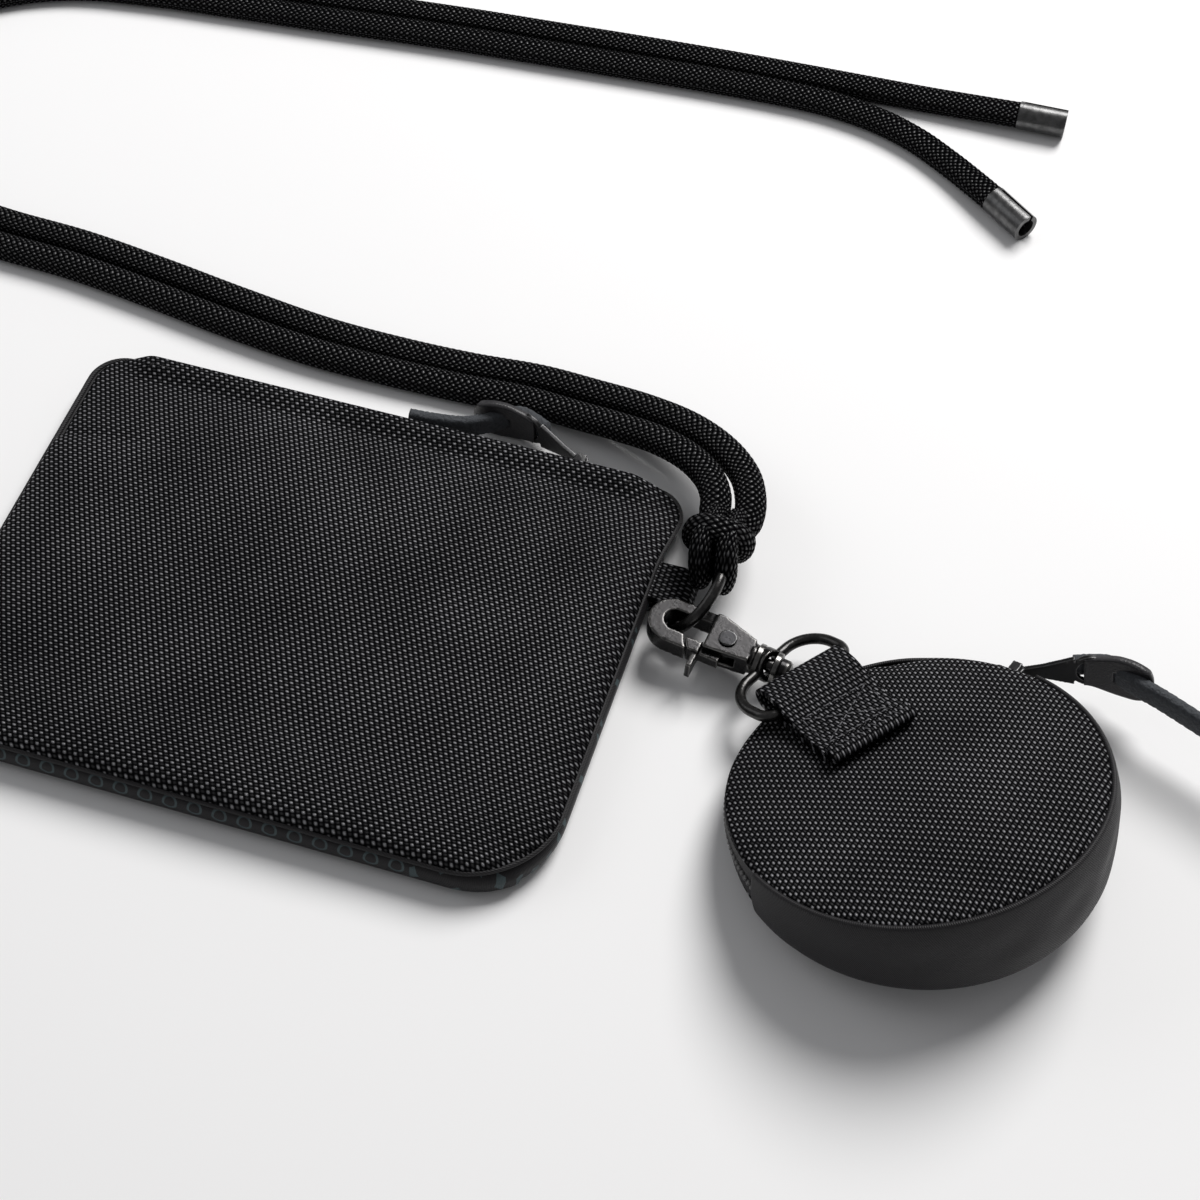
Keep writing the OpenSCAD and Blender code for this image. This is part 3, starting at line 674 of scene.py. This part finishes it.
def back_face():
    obj, x, y, s, t = rounded_sheet("pouch_back", HALF_W - 0.2 * MM, HALF_D - 0.2 * MM,
        CORNER_TOP * MM, CORNER_LOW * MM, 120, 92)
    plump = ((1 - np.abs(s) ** 16) * (1 - np.abs(t) ** 16)) ** 0.5
    z = SEAM_Z - 0.2 * MM - 4.7 * MM * plump - zip_gap(x, y) * 0.9
    near_edge = np.abs(t) ** 3 + np.abs(s) ** 3
    z = np.maximum(z + 0.3 * MM * plump * ripple(x, y, 4.0) * near_edge, 0.06 * MM)
    right, low, turned = turned_edge(x, y)
    inward = 1 - np.maximum(np.abs(s), np.abs(t))
    bulge = MM * np.interp(inward, WALL_AT, WALL_OUT)
    z = z + (MM * np.interp(inward, WALL_AT, WALL_Z) - z) * turned
    move_points(obj, np.column_stack([x + bulge * right, y - bulge * low, z]))
    set_lengths(obj, x, 2 * y - 1.7 * MM)
    obj.data.flip_normals()
    apply_modifier(obj, "SOLIDIFY", thickness=0.8 * MM, offset=-1)
    dress(obj, "pouch", "black_twill", PRINTED, replaces=["back_panel"])
    return obj


front = front_face()
back_face()
print("front box", [round(c * 1000, 1) for c in np.ptp(points_of(front), axis=0)])

# %% [markdown]
# ### The seam
# Where the two faces meet, their edges are turned in and a narrow roll of the back cloth shows.
# It is a thin tube along the same outline, left open where the zip is.

# %% Seam roll
def outline(half_w, half_d, top, low, steps=8, spacing=4):
    """Points round a rectangle with round corners, from the lower right, anticlockwise."""
    corners = ((half_w - low, low - half_d, low, -90), (half_w - top, half_d - top, top, 0),
        (top - half_w, half_d - top, top, 90), (low - half_w, low - half_d, low, 180))
    bends = []
    for cx, cy, r, start in corners:
        for i in range(steps + 1):
            a = math.radians(start + 90 * i / steps)
            bends.append((cx + r * math.cos(a), cy + r * math.sin(a)))
    points = []
    for (x, y), (next_x, next_y) in zip(bends, bends[1:] + bends[:1]):
        count = max(1, round(math.hypot(next_x - x, next_y - y) / spacing))
        points += [(x + (next_x - x) * i / count, y + (next_y - y) * i / count) for i in range(count)]
    return points


ROLL_Y = 48.9
ring = outline(64.9, ROLL_Y, CORNER_TOP, CORNER_LOW)
on_top = [i for i, (x, y) in enumerate(ring) if y > ROLL_Y - 0.1]
first = max(i for i in on_top if ring[i][0] > -57) + 1
last = min(on_top)
seam_x, seam_y = np.array(ring[first:] + ring[:last]).T
seam_right, seam_low, seam_turned = turned_edge(seam_x * MM, seam_y * MM)
seam_route = np.column_stack([seam_x - EDGE_IN * seam_right, seam_y + EDGE_IN * seam_low,
    5.0 + EDGE_UP * seam_turned]).tolist()
roll, _, _ = tube("seam_roll", seam_route, 0.55, 0.6, around=10, step=0.8)
dress(roll, "pouch", "black_twill", TWILL)
print("seam roll has", len(roll.data.vertices), "points")

# %% [markdown]
# ## The zips
# A coil zip is a spiral of nylon sewn to two tapes. From outside it reads as a row of small
# rounded teeth from each side that meet in the middle. One tooth is modelled and repeated.

# %% Teeth and tapes
def tooth_row(name, places, body, slot, replaces, size=(0.95, 1.25, 1.5)):
    """Copies one bevelled tooth to each place, a 4 by 4 matrix."""
    bpy.ops.object.select_all(action="DESELECT")
    bpy.ops.mesh.primitive_cube_add(size=1)
    tooth = bpy.context.object
    move_points(tooth, points_of(tooth) * np.array(size) * MM)
    apply_modifier(tooth, "BEVEL", width=0.28 * MM, segments=2)
    base = points_of(tooth)
    shape = [list(face.vertices) for face in tooth.data.polygons]
    bpy.data.objects.remove(tooth)
    vertices, faces = [], []
    for place in places:
        shift = len(vertices)
        vertices += [tuple(place @ Vector(p)) for p in base]
        faces += [[i + shift for i in face] for face in shape]
    mesh = bpy.data.meshes.new(name)
    mesh.from_pydata(vertices, [], faces)
    obj = bpy.data.objects.new(name, mesh)
    bpy.context.collection.objects.link(obj)
    return dress(obj, body, slot, COIL, replaces=replaces)


ZIP_PITCH = 1.3
places = [Matrix.Translation(Vector((x + (ZIP_PITCH / 2 if side > 0 else 0), 47.6, 5 + side * 0.55)) * MM)
    for side in (-1, 1) for x in np.arange(-49, 49.5, ZIP_PITCH)]
tooth_row("pouch_zip_teeth", places, "pouch", "coil", ["zip_coil"], (0.95, 1.3, 1.05))

TAPE_HALF_L, TAPE_HALF_H = 53, 1.3
for side, label in ((1, "upper"), (-1, "lower")):
    tape = grid("pouch_zip_tape_" + label, 100, 6)
    p = points_of(tape)
    s, t = p[:, 0].copy(), p[:, 1].copy()
    bow = 0.5 * MM * np.cos(t * math.pi / 2)
    height = (5 + side * (1.9 + TAPE_HALF_H * t)) * MM
    move_points(tape, np.column_stack([s * TAPE_HALF_L * MM, 46.9 * MM + bow, height]))
    set_lengths(tape, s * TAPE_HALF_L * MM, t * TAPE_HALF_H * MM)
    apply_modifier(tape, "SOLIDIFY", thickness=0.6 * MM, offset=0)
    dress(tape, "pouch", "zip_tape", TAPE, replaces=["zip_tapes"] if side > 0 else [])
print("zip teeth:", len(places))

# %% [markdown]
# ## The coin pouch
# Two round faces with a wall between them that is tall on the near side and low at the tab. Half
# the wall is twill, the other half is the zip. All of it is modelled about the pouch's own tilted
# middle plane and then set in place by one matrix.

# %% The coin pouch's frame
# Radius and half height in millimetres, the middle plane's tilt and its angle to each face in
# degrees, and the direction of the tab seen from above. BULGE is how far the base bellies down.
COIN_R, COIN_HALF, COIN_TILT, WEDGE, TAB_DIR = 35.0, 5.5, 13.0, 6.0, 141.0
BULGE = 4.0
bulge_r = (COIN_R ** 2 + BULGE ** 2) / (2 * BULGE)
coin_z = (COIN_HALF * math.cos(math.radians(COIN_TILT)) + bulge_r
    - (bulge_r - BULGE) * math.cos(math.radians(COIN_TILT - WEDGE)))
COIN = (Matrix.Translation(Vector((125.5, -10.7, coin_z)) * MM)
    @ Matrix.Rotation(math.radians(TAB_DIR), 4, "Z") @ Matrix.Rotation(math.radians(COIN_TILT), 4, "Y"))
COIN_TOP = (COIN @ Matrix.Translation((0, 0, COIN_HALF * MM))
    @ Matrix.Rotation(math.radians(WEDGE), 4, "Y"))
SLOPE = math.tan(math.radians(WEDGE))


def place_points(obj, matrix, points):
    m = np.array(matrix)
    move_points(obj, np.asarray(points) * MM @ m[:3, :3].T + m[:3, 3])


def disc(name, across=92):
    """A round sheet: a grid whose square rim is pulled in to a circle."""
    obj = grid(name, across, across)
    p = points_of(obj)
    s, t = p[:, 0].copy(), p[:, 1].copy()
    reach = np.maximum(np.abs(s), np.abs(t))
    angle = np.arctan2(t, s)
    blend = reach ** 2
    straight = np.hypot(s, t)
    radius = reach * blend + np.minimum(straight, 1) * (1 - blend)
    radius = np.where(reach > 0.999, 1, np.minimum(radius, 1))
    return obj, radius * np.cos(angle), radius * np.sin(angle), reach


def wall(name, start, stop, low, high, radius, rows, across, seed):
    """A curved strip of the side between two angles, in degrees from the tab.

    low and high give its edges' heights at an angle, radius its reach at a share of its height.
    """
    obj = grid(name, across, rows)
    p = points_of(obj)
    a = np.radians(start + (stop - start) * (p[:, 0] + 1) / 2)
    t = (p[:, 1] + 1) / 2
    bottom, top = low(a), high(a)
    z = bottom + (top - bottom) * t
    wrinkle = ripple(a * 0.05, z * 0.002, seed) * 0.5 * np.sin(np.pi * t)
    r = radius(t) + wrinkle
    place_points(obj, COIN, np.column_stack([r * np.cos(a), r * np.sin(a), z]))
    set_lengths(obj, a * COIN_R * MM, z * MM)
    return obj


def top_line(a):
    return COIN_HALF - COIN_R * np.cos(a) * SLOPE


def base_line(a):
    return -top_line(a)


# %% Faces of the coin pouch
# The faces give way where the slider stops, at ZIP_END and ZIP_END_SPREAD to either side, both in
# degrees: ROOM_IN inwards and ROOM_UP away from the zip, in millimetres. SHEET is their thickness.
ZIP_END, ZIP_END_SPREAD = -30.5, 10.0
ROOM_IN, ROOM_UP = 2.5, 0.9
SHEET = 0.9 * MM


def slider_room(x, y):
    """Where the faces stand back from the slider when it reaches the end of the zip."""
    angle = np.degrees(np.arctan2(y, x))
    return np.exp(-((angle - ZIP_END) / ZIP_END_SPREAD) ** 2) * np.hypot(x, y) ** 8


def coin_top():
    obj, x, y, reach = disc("coin_pouch_top")
    rho = np.hypot(x, y)
    dome = 1.5 * (1 - rho ** 2) + 1.0 * (1 - rho ** 10) ** 0.5
    z = dome + 0.22 * ripple(x * 0.035, y * 0.035, 2.0) * (1 - rho ** 4)
    near_tab = np.exp(-(((x - 0.55) / 0.5) ** 2 + (y / 0.4) ** 2))
    z -= 0.9 * near_tab * (1 - rho ** 4)
    room = slider_room(x, y)
    radius = COIN_R + 0.1 - ROOM_IN * room
    place_points(obj, COIN_TOP, np.column_stack([x * radius, y * radius, z - 0.15 + ROOM_UP * room]))
    set_lengths(obj, x * COIN_R * MM, y * COIN_R * MM)
    ease_out(obj, reach > 0.95, 0.5, 0.5 * MM)
    apply_modifier(obj, "SOLIDIFY", thickness=SHEET, offset=-1)
    dress(obj, "coin_pouch", "ballistic_nylon", NYLON, replaces=["coin_top_panel"])
    return obj


def coin_base():
    obj, x, y, _ = disc("coin_pouch_base", 72)
    rho = np.hypot(x, y)
    z = -COIN_HALF + x * COIN_R * SLOPE - BULGE * (1 - rho ** 2) * 0.98
    room = slider_room(x, y)
    radius = COIN_R - ROOM_IN * room
    place_points(obj, COIN, np.column_stack([x * radius, y * radius, z - ROOM_UP * room]))
    p = points_of(obj)
    p[:, 2] = np.maximum(p[:, 2], 0.06 * MM)
    move_points(obj, p)
    set_lengths(obj, x * COIN_R * MM, y * COIN_R * MM)
    obj.data.flip_normals()
    apply_modifier(obj, "SOLIDIFY", thickness=SHEET, offset=-1)
    dress(obj, "coin_pouch", "ballistic_nylon", NYLON, replaces=["coin_bottom_panel"])
    return obj


def swollen(t):
    """Radius of the twill wall: it bellies out, with a tuck under each seam."""
    belly = 0.9 * np.sin(np.pi * np.clip(t, 0, 1)) ** 0.6
    return COIN_R - 0.25 + belly


def flat_wall(t):
    return COIN_R - 0.4 + 0 * t


def tape_edge(a):
    """Half the gap between the two zip tapes, where the teeth lie."""
    return 0.9 + 0 * a


coin_top()
coin_base()
ZIP_START, ZIP_STOP = -78, 88
gusset = wall("coin_pouch_wall", ZIP_STOP, ZIP_START + 360, base_line, lambda a: top_line(a) + 0.1,
    swollen, 22, 260, 5.0)
apply_modifier(gusset, "SOLIDIFY", thickness=0.8 * MM, offset=1)
dress(gusset, "coin_pouch", "black_twill", TWILL, replaces=["coin_gusset"])
for label, low, high in (("upper", tape_edge, top_line), ("lower", base_line, lambda a: -tape_edge(a))):
    tape = wall("coin_zip_tape_" + label, ZIP_START, ZIP_STOP, low, high, flat_wall, 8, 200, 7.0)
    apply_modifier(tape, "SOLIDIFY", thickness=0.7 * MM, offset=0)
    dress(tape, "coin_pouch", "zip_tape", TAPE, replaces=["coin_zip_tapes"] if label == "upper" else [])
COIL_STEP = math.degrees(ZIP_PITCH / COIN_R)
places = [COIN @ Matrix.Rotation(math.radians(angle + side * COIL_STEP / 4), 4, "Z")
    @ Matrix.Translation(Vector((COIN_R - 0.1, 0, side * 0.5)) * MM) @ Matrix.Rotation(math.pi / 2, 4, "Z")
    for side in (-1, 1) for angle in np.arange(ZIP_START + 1.5, ZIP_STOP - 1, COIL_STEP)]
tooth_row("coin_zip_teeth", places, "coin_pouch", "coil", ["coin_zip_coil"], (0.85, 1.1, 0.95))
print("coin pouch pieces ready, coin centre z", round(coin_z, 2))

# %% [markdown]
# ## Stitches
# Thread is a row of short rounded dashes that dip into the cloth at each end. Seams drawn with
# real dashes catch the light, where a painted line would not.

# %% Stitch helper
def stitch_row(name, points, body, slot, pitch=2.3, thick=0.2, fill=0.72, twist=0.0):
    """Dashes along a route, in millimetres, each a tapered six-sided bar."""
    path, length = smooth_path(points, 0.15)
    count = max(1, int(length / pitch))
    vertices, faces = [], []
    for k in range(count):
        first = int(k * (len(path) - 1) / count)
        last = int((k + fill) * (len(path) - 1) / count)
        a, b = path[first], path[min(max(last, first + 1), len(path) - 1)]
        along = (b - a) / np.linalg.norm(b - a)
        across = np.cross(along, (0, 0, 1))
        across /= np.linalg.norm(across)
        up = np.cross(across, along)
        a, b = a - across * twist, b + across * twist
        for share, size, lift in ((0, 0.45, -0.12), (0.25, 1, 0), (0.75, 1, 0), (1, 0.45, -0.12)):
            for turn in np.linspace(0, 2 * np.pi, 6, endpoint=False):
                spoke = across * np.cos(turn) + up * np.sin(turn)
                p = a + (b - a) * share + thick * size * spoke + up * lift
                vertices.append(tuple(p * MM))
        base = k * 24
        faces += [(base + r * 6 + j, base + r * 6 + (j + 1) % 6, base + (r + 1) * 6 + (j + 1) % 6,
            base + (r + 1) * 6 + j) for r in range(3) for j in range(6)]
        faces += [tuple(base + j for j in reversed(range(6))), tuple(base + 18 + j for j in range(6))]
    mesh = bpy.data.meshes.new(name)
    mesh.from_pydata(vertices, [], faces)
    obj = bpy.data.objects.new(name, mesh)
    bpy.context.collection.objects.link(obj)
    only(obj)
    bpy.ops.object.mode_set(mode="EDIT")
    bpy.ops.mesh.select_all(action="SELECT")
    bpy.ops.mesh.normals_make_consistent(inside=False)
    bpy.ops.object.mode_set(mode="OBJECT")
    return dress(obj, body, slot, THREAD)


def in_place(matrix, points):
    return [tuple((matrix @ (Vector(p) * MM)) / MM) for p in points]


# %% Stitches on the coin pouch's wall
for number, angle in enumerate((92, 96.5)):
    a = math.radians(angle)
    low, high = float(base_line(a)), float(top_line(a))
    column = []
    for z in np.linspace(low + 1, high - 0.8, 6):
        r = float(swollen((z - low) / (high - low)) + 0.12)
        column.append((r * math.cos(a), r * math.sin(a), z))
    stitch_row(f"wall_stitches_{number}", in_place(COIN, column), "coin_pouch", "black_twill", 1.7, 0.14)
print("wall stitches done")

# %% [markdown]
# ## Webbing
# The tab on the coin pouch and the loop on the main pouch are flat webbing folded round a wire. A
# strip follows a side view of the fold, then Solidify gives it its thickness and Bevel its edges.

# %% Folded webbing
def strap(name, side_view, width, thick, matrix, rows=16, step=0.35):
    """A flat strip of webbing along a side view of (x, z) points, in millimetres."""
    path, length = smooth_path([(x, 0, z) for x, z in side_view], step)
    obj = grid(name, len(path) - 1, rows)
    p = points_of(obj)
    along = np.rint((p[:, 0] + 1) / 2 * (len(path) - 1)).astype(int)
    y = p[:, 1] * width / 2
    place_points(obj, matrix, np.column_stack([path[along, 0], y, path[along, 2]]))
    set_lengths(obj, y * MM, along / (len(path) - 1) * length * MM)
    apply_modifier(obj, "SOLIDIFY", thickness=thick * MM, offset=0)
    apply_modifier(obj, "BEVEL", width=0.3 * MM, segments=2, limit_method="ANGLE",
        angle_limit=math.radians(50))
    return obj


LIFT, THREAD_UP = 1.2, 0.62
TAB_VIEW = [
    (12.2, 0.65), (17, 0.65), (23, 0.6), (29, 0.6), (33.2, 0.6), (35.4, 1.0), (36.35, 2.6),
    (35.4, 4.15), (33.2, 4.6), (29.5, 4.45), (26, 3.2), (22.5, 2.1), (18, 1.85), (14, 1.95),
    (12, 2.15), (11.3, 2.75), (12, 3.3), (14.5, 3.2),
]
tab = strap("coin_tab_webbing", [(x, z + LIFT) for x, z in TAB_VIEW], 18.6, 1.05, COIN_TOP)
dress(tab, "coin_pouch", "webbing", WEBBING, replaces=["coin_tab"])
BOX = [(24.2, -7.4), (24.2, 7.4), (16.2, 7.4), (16.2, -7.4)]


def tab_height(x):
    """Height of the thread on the tab's upper layer."""
    layer = np.interp(x, (14, 18, 22.5, 26, 29.5), (1.95, 1.85, 2.1, 3.2, 4.45))
    return LIFT + THREAD_UP + float(layer)


sides = [(BOX[i], BOX[(i + 1) % 4]) for i in range(4)]
cross = [(BOX[0], BOX[2]), (BOX[1], BOX[3])]
for number, (a, b) in enumerate(sides + cross):
    spots = [np.array(a) + (np.array(b) - a) * t for t in np.linspace(0.02, 0.98, 7)]
    route = [(x, y, tab_height(x)) for x, y in spots]
    stitch_row(f"tab_stitches_{number}", in_place(COIN_TOP, route), "coin_pouch", "webbing", 1.9, 0.17)
hem = [(13.0, y, LIFT + 3.3 + THREAD_UP) for y in np.linspace(-8, 8, 6)]
stitch_row("tab_hem_stitches", in_place(COIN_TOP, hem), "coin_pouch", "webbing", 1.5, 0.16, 0.6, 0.5)

BAR_Z, LOOP_Y, LOOP_W = 3.2, 27.0, 9.2
LOOP_VIEW = [(63.5, BAR_Z + 1.95), (66.5, BAR_Z + 1.95), (69.5, BAR_Z + 2.0), (71.4, BAR_Z + 1.6),
    (72.3, BAR_Z), (71.4, BAR_Z - 1.6), (69.5, BAR_Z - 2.0), (66.5, BAR_Z - 1.9), (63.5, BAR_Z - 1.9)]
LOOP_AT = Matrix.Translation(Vector((0, LOOP_Y, 0)) * MM)
side_loop = strap("side_loop_webbing", LOOP_VIEW, LOOP_W, 1.0, LOOP_AT)
dress(side_loop, "pouch", "webbing", WEBBING, replaces=["side_loop"])
print("webbing:", tab.name, side_loop.name)

# %% [markdown]
# ## The knot
# The doubled cord is tied to the ring: its ends go over and round the wire, and a turn of cord
# grips them above it. Each is a short tube of the same braid.

# %% Knot
KNOT_X, KNOT_Y, KNOT_Z = 75.5, 31.0, 12.0
KNOT_TUBE = {"around": 26, "step": 0.4, "relief": 0.08, "power": 2.3}
turn_points = [
    (KNOT_X - 0.9 + 5.1 * math.cos(a), KNOT_Y + 4.8 - 1.6 * math.sin(a), KNOT_Z + 5.0 * math.sin(a))
    for a in np.linspace(-0.6, 2 * math.pi - 0.1, 15)
]
collar, _, _ = tube("knot_turn", turn_points, 2.2, 2.9, upright=(0, 1, 0.02), **KNOT_TUBE)
bights = []
for number, shift in enumerate((-2.9, 1.6)):
    over = [
        (KNOT_X + shift * 0.9, 40.5, 12.6), (KNOT_X + shift, 36, 14.4),
        (KNOT_X + shift * 1.1, 32, 15.8), (KNOT_X + shift * 1.2 + 0.6, 28.8, 14.6),
        (KNOT_X + shift * 1.1 + 1, 27.8, 11.2), (KNOT_X + shift + 0.4, 29.4, 7.9),
        (KNOT_X + shift * 0.9, 33, 7.4), (KNOT_X + shift * 0.8, 37.5, 9.2),
    ]
    bight, _, _ = tube(f"knot_bight_{number}", over, 2.9, 2.1, upright=(1, 0, 0.02), **KNOT_TUBE)
    bights.append(bight)
for piece in (collar, *bights):
    dress(piece, "ring", "cord", BRAID, replaces=["cord_knot"] if piece is collar else [])
for index, (strand, path, length, core) in enumerate(strands):
    [tuple(p) for p in path[::6]] + [tuple(path[-1])]
    [core, "cord_tip_a"] if index == 0 else [core, "cord_tip_b"]
print("knot made of", 1 + len(bights), "tubes")

# %% [markdown]
# ## Leather pulls
# Each pull is one thong drawn through the plate's eye and then through a slit in its own rounded
# head. The head is a grained plate with pale fuzzy cut edges, the thong shows its fibrous side.

# %% Leather pull
ZIP_EYE = Vector((28.21, 56.994, 5.0))
COIN_EYE = Vector((150.453, 28.983, 9.197))


def leather_pull(label, eye, ahead, out, tail, body):
    """ahead runs along the plate, out is towards the head's side, all in millimetres."""
    ahead, out = Vector(ahead).normalized(), Vector(out).normalized()
    up = ahead.cross(out).normalized()
    if up.z < 0:
        up = -up
    head = grid(f"{label}_leather_head", 30, 22)
    p = points_of(head)
    s, t = p[:, 0].copy(), p[:, 1].copy()
    x = np.where(s > 0, s * (1 - 0.12 * t ** 2), s)
    rounding = np.sqrt(np.maximum(1 - ((s - 0.3) / 0.95) ** 2, 0.05))
    width = 4.6 * (1 - 0.28 * ease(0.1, -1, s)) * np.where(s > 0.3, rounding, 1)
    along = 5.2 + x * 6.4
    lift = 1.7 + 2.6 * ease(-0.3, 1, s) ** 1.3 - 1.6 * ease(0.2, -1, s)
    slit = (np.abs(s - 0.1) < 0.28) & (np.abs(t) < 0.32)
    base = np.array(eye) + np.outer(along, ahead) + np.outer(lift, out) + np.outer(t * width, up)
    move_points(head, base * MM)
    set_lengths(head, along * MM, t * width * MM)
    only(head)
    mesh = bmesh.new()
    mesh.from_mesh(head.data)
    mesh.verts.ensure_lookup_table()
    gone = [f for f in mesh.faces if all(slit[v.index] for v in f.verts)]
    bmesh.ops.delete(mesh, geom=gone, context="FACES")
    mesh.to_mesh(head.data)
    mesh.free()
    apply_modifier(head, "SOLIDIFY", thickness=1.5 * MM, offset=0, material_offset_rim=1)
    dress(head, body, "leather", GRAIN, CUT_EDGE, replaces=[body])
    thong, _, _ = tube(f"{label}_leather_thong", tail, 1.25, 2.5, around=22, step=0.5, relief=0, power=3.4)
    p = points_of(thong)
    fuzz = 0.09 * np.sin(p[:, 0] * 5200 + p[:, 2] * 3100) * np.sin(p[:, 1] * 4300)
    move_points(thong, p + (fuzz * MM)[:, None] * np.array([0.3, 0.5, 0.8]))
    dress(thong, body, "leather", FLESH)
    print(head.name, "and", thong.name)


def plate_frame(eye, ahead, out, points):
    """Points of a tail given along the plate, away from it and upwards."""
    ahead, out = Vector(ahead).normalized(), Vector(out).normalized()
    return [tuple(eye + ahead * x + out * y + Vector((0, 0, z))) for x, y, z in points]


ZIP_AHEAD, ZIP_OUT = (-0.9135, 0.4067, 0), (-0.407, -0.914, 0)
COIN_AHEAD, COIN_OUT = (0.9613, 0.2347, 0.1392), (0.209, -0.962, 0.177)
IN_HEAD = [(-3.2, -1.4, 0), (0, -1.5, 0), (3.5, -1.0, 0)]
ZIP_TAIL = IN_HEAD + [
    (5.6, 1.5, 0), (8, 5.6, 0), (11.1, 9.2, 0), (16.4, 12.6, 0), (20.5, 14.8, 0),
]
COIN_TAIL = IN_HEAD + [
    (5.6, 1.6, 0), (9, 5, 0), (13, 8, -0.6), (20, 13, -2.6), (28, 19, -4.6), (36, 25, -6),
    (44, 31, -6.8),
]
zip_tail = plate_frame(ZIP_EYE, ZIP_AHEAD, ZIP_OUT, ZIP_TAIL)
coin_tail = plate_frame(COIN_EYE, COIN_AHEAD, COIN_OUT, COIN_TAIL)
leather_pull("zip", ZIP_EYE, ZIP_AHEAD, ZIP_OUT, zip_tail, "zip_leather_pull")
leather_pull("coin", COIN_EYE, COIN_AHEAD, COIN_OUT, coin_tail, "coin_leather_pull")

# %% [markdown]
# ## Metal
# The fittings are cast or stamped, so no edge is sharp. A merged copy of each node is remeshed
# finely and smoothed a little, which rounds every edge at once, and the finish then brightens the
# edges where the plating wears.

# %% Cast copies of the fittings
def cast(node, finish, slot, body, voxel, smooth):
    """A copy of a fitting with soft edges. voxel is in millimetres, smooth is a count of passes."""
    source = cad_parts[node]
    copy = source.copy()
    copy.data = source.data.copy()
    copy.name = node + "_cast"
    bpy.context.collection.objects.link(copy)
    copy.parent = None
    copy.matrix_world = source.matrix_world
    only(copy)
    bpy.ops.object.transform_apply(location=True, rotation=True, scale=True)
    bpy.ops.object.mode_set(mode="EDIT")
    bpy.ops.mesh.select_all(action="SELECT")
    bpy.ops.mesh.remove_doubles(threshold=0.004 * MM)
    bpy.ops.object.mode_set(mode="OBJECT")
    apply_modifier(copy, "REMESH", mode="VOXEL", voxel_size=voxel * MM)
    apply_modifier(copy, "SMOOTH", factor=0.5, iterations=smooth)
    dress(copy, body, slot, finish, replaces=[node])
    print(copy.name, len(copy.data.polygons), "faces")


FITTINGS = [
    ("d_ring", GUNMETAL, "gunmetal", "ring", 0.22, 2),
    ("hook_body", GUNMETAL, "gunmetal", "hook", 0.19, 6),
    ("hook_gate", GUNMETAL, "gunmetal", "gate", 0.17, 4),
    ("gate_rivet", DARK_STEEL, "dark_steel", "hook", 0.14, 3),
    ("swivel_eye", GUNMETAL, "gunmetal", "eye", 0.2, 3),
    ("zip_slider", BLACK_PLATE, "gunmetal", "zip_slider", 0.15, 2),
    ("zip_pull_plate", BLACK_PLATE, "gunmetal", "zip_pull_plate", 0.15, 2),
    ("coin_zip_slider", BLACK_PLATE, "gunmetal", "coin_slider", 0.15, 2),
    ("coin_pull_plate", BLACK_PLATE, "gunmetal", "coin_pull_plate", 0.15, 2),
]
for node, finish, slot, body, voxel, smooth in FITTINGS:
    cast(node, finish, slot, body, voxel, smooth)

# %% [markdown]
# ### The swivel
# The eye's collar turns between a washer on the hook's body and the wide head of its stud. Both
# are lathe work: a profile turned about the hook's axis, through the middle of the collar.

# %% Turned washer and stud
# Each profile is a list of distance along the axis from the collar's middle and radius there.
COLLAR_AT, HOOK_AXIS = Vector((90.78, 13.99, 5.59)), Vector((0.99, -0.12, -0.07)).normalized()
STUD = (
    (1.25, 0), (1.25, 2.9), (1.45, 3.2), (2.3, 3.2), (2.5, 2.95), (2.5, 2.5), (2.65, 2.35),
    (4.1, 2.35), (4.6, 2.0), (4.85, 1.2), (4.9, 0),
)
WASHER = ((-2.5, 0), (-2.5, 3.2), (-2.3, 3.5), (-1.45, 3.5), (-1.25, 3.2), (-1.25, 0))
LEAST_R = 0.01


def lathe(name, profile, around=64):
    """A closed solid turned about the hook's axis. The rings at its ends close to a point."""
    side = HOOK_AXIS.orthogonal().normalized()
    across = HOOK_AXIS.cross(side)
    vertices, faces = [], []
    for along, radius in profile:
        for a in np.linspace(0, 2 * math.pi, around, endpoint=False):
            spoke = side * math.cos(a) + across * math.sin(a)
            vertices.append(tuple((COLLAR_AT + HOOK_AXIS * along + spoke * max(radius, LEAST_R)) * MM))
    for i in range(len(profile) - 1):
        low, high = i * around, (i + 1) * around
        for j in range(around):
            k = (j + 1) % around
            faces.append((low + j, low + k, high + k, high + j))
    mesh = bpy.data.meshes.new(name)
    mesh.from_pydata(vertices, [], faces)
    obj = bpy.data.objects.new(name, mesh)
    bpy.context.collection.objects.link(obj)
    only(obj)
    bpy.ops.object.mode_set(mode="EDIT")
    bpy.ops.mesh.select_all(action="SELECT")
    bpy.ops.mesh.remove_doubles(threshold=0.02 * MM)
    bpy.ops.mesh.normals_make_consistent(inside=False)
    bpy.ops.object.mode_set(mode="OBJECT")
    bpy.ops.object.shade_smooth_by_angle(angle=math.radians(28))
    return obj


dress(lathe("swivel_stud_turned", STUD), "hook", "gunmetal", GUNMETAL, replaces=["swivel_stud"])
dress(lathe("swivel_washer", WASHER), "hook", "gunmetal", GUNMETAL)

# %% Fittings kept as they are, with a finish
for node, finish in (("cord_tip_a", BLACK_PLATE), ("cord_tip_b", BLACK_PLATE), ("zip_stops", BLACK_PLATE),
        ("gate_spring", DARK_STEEL), ("pocket_lining", TAPE)):
    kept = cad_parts[node]
    kept.data.materials.clear()
    kept.data.materials.append(finish)
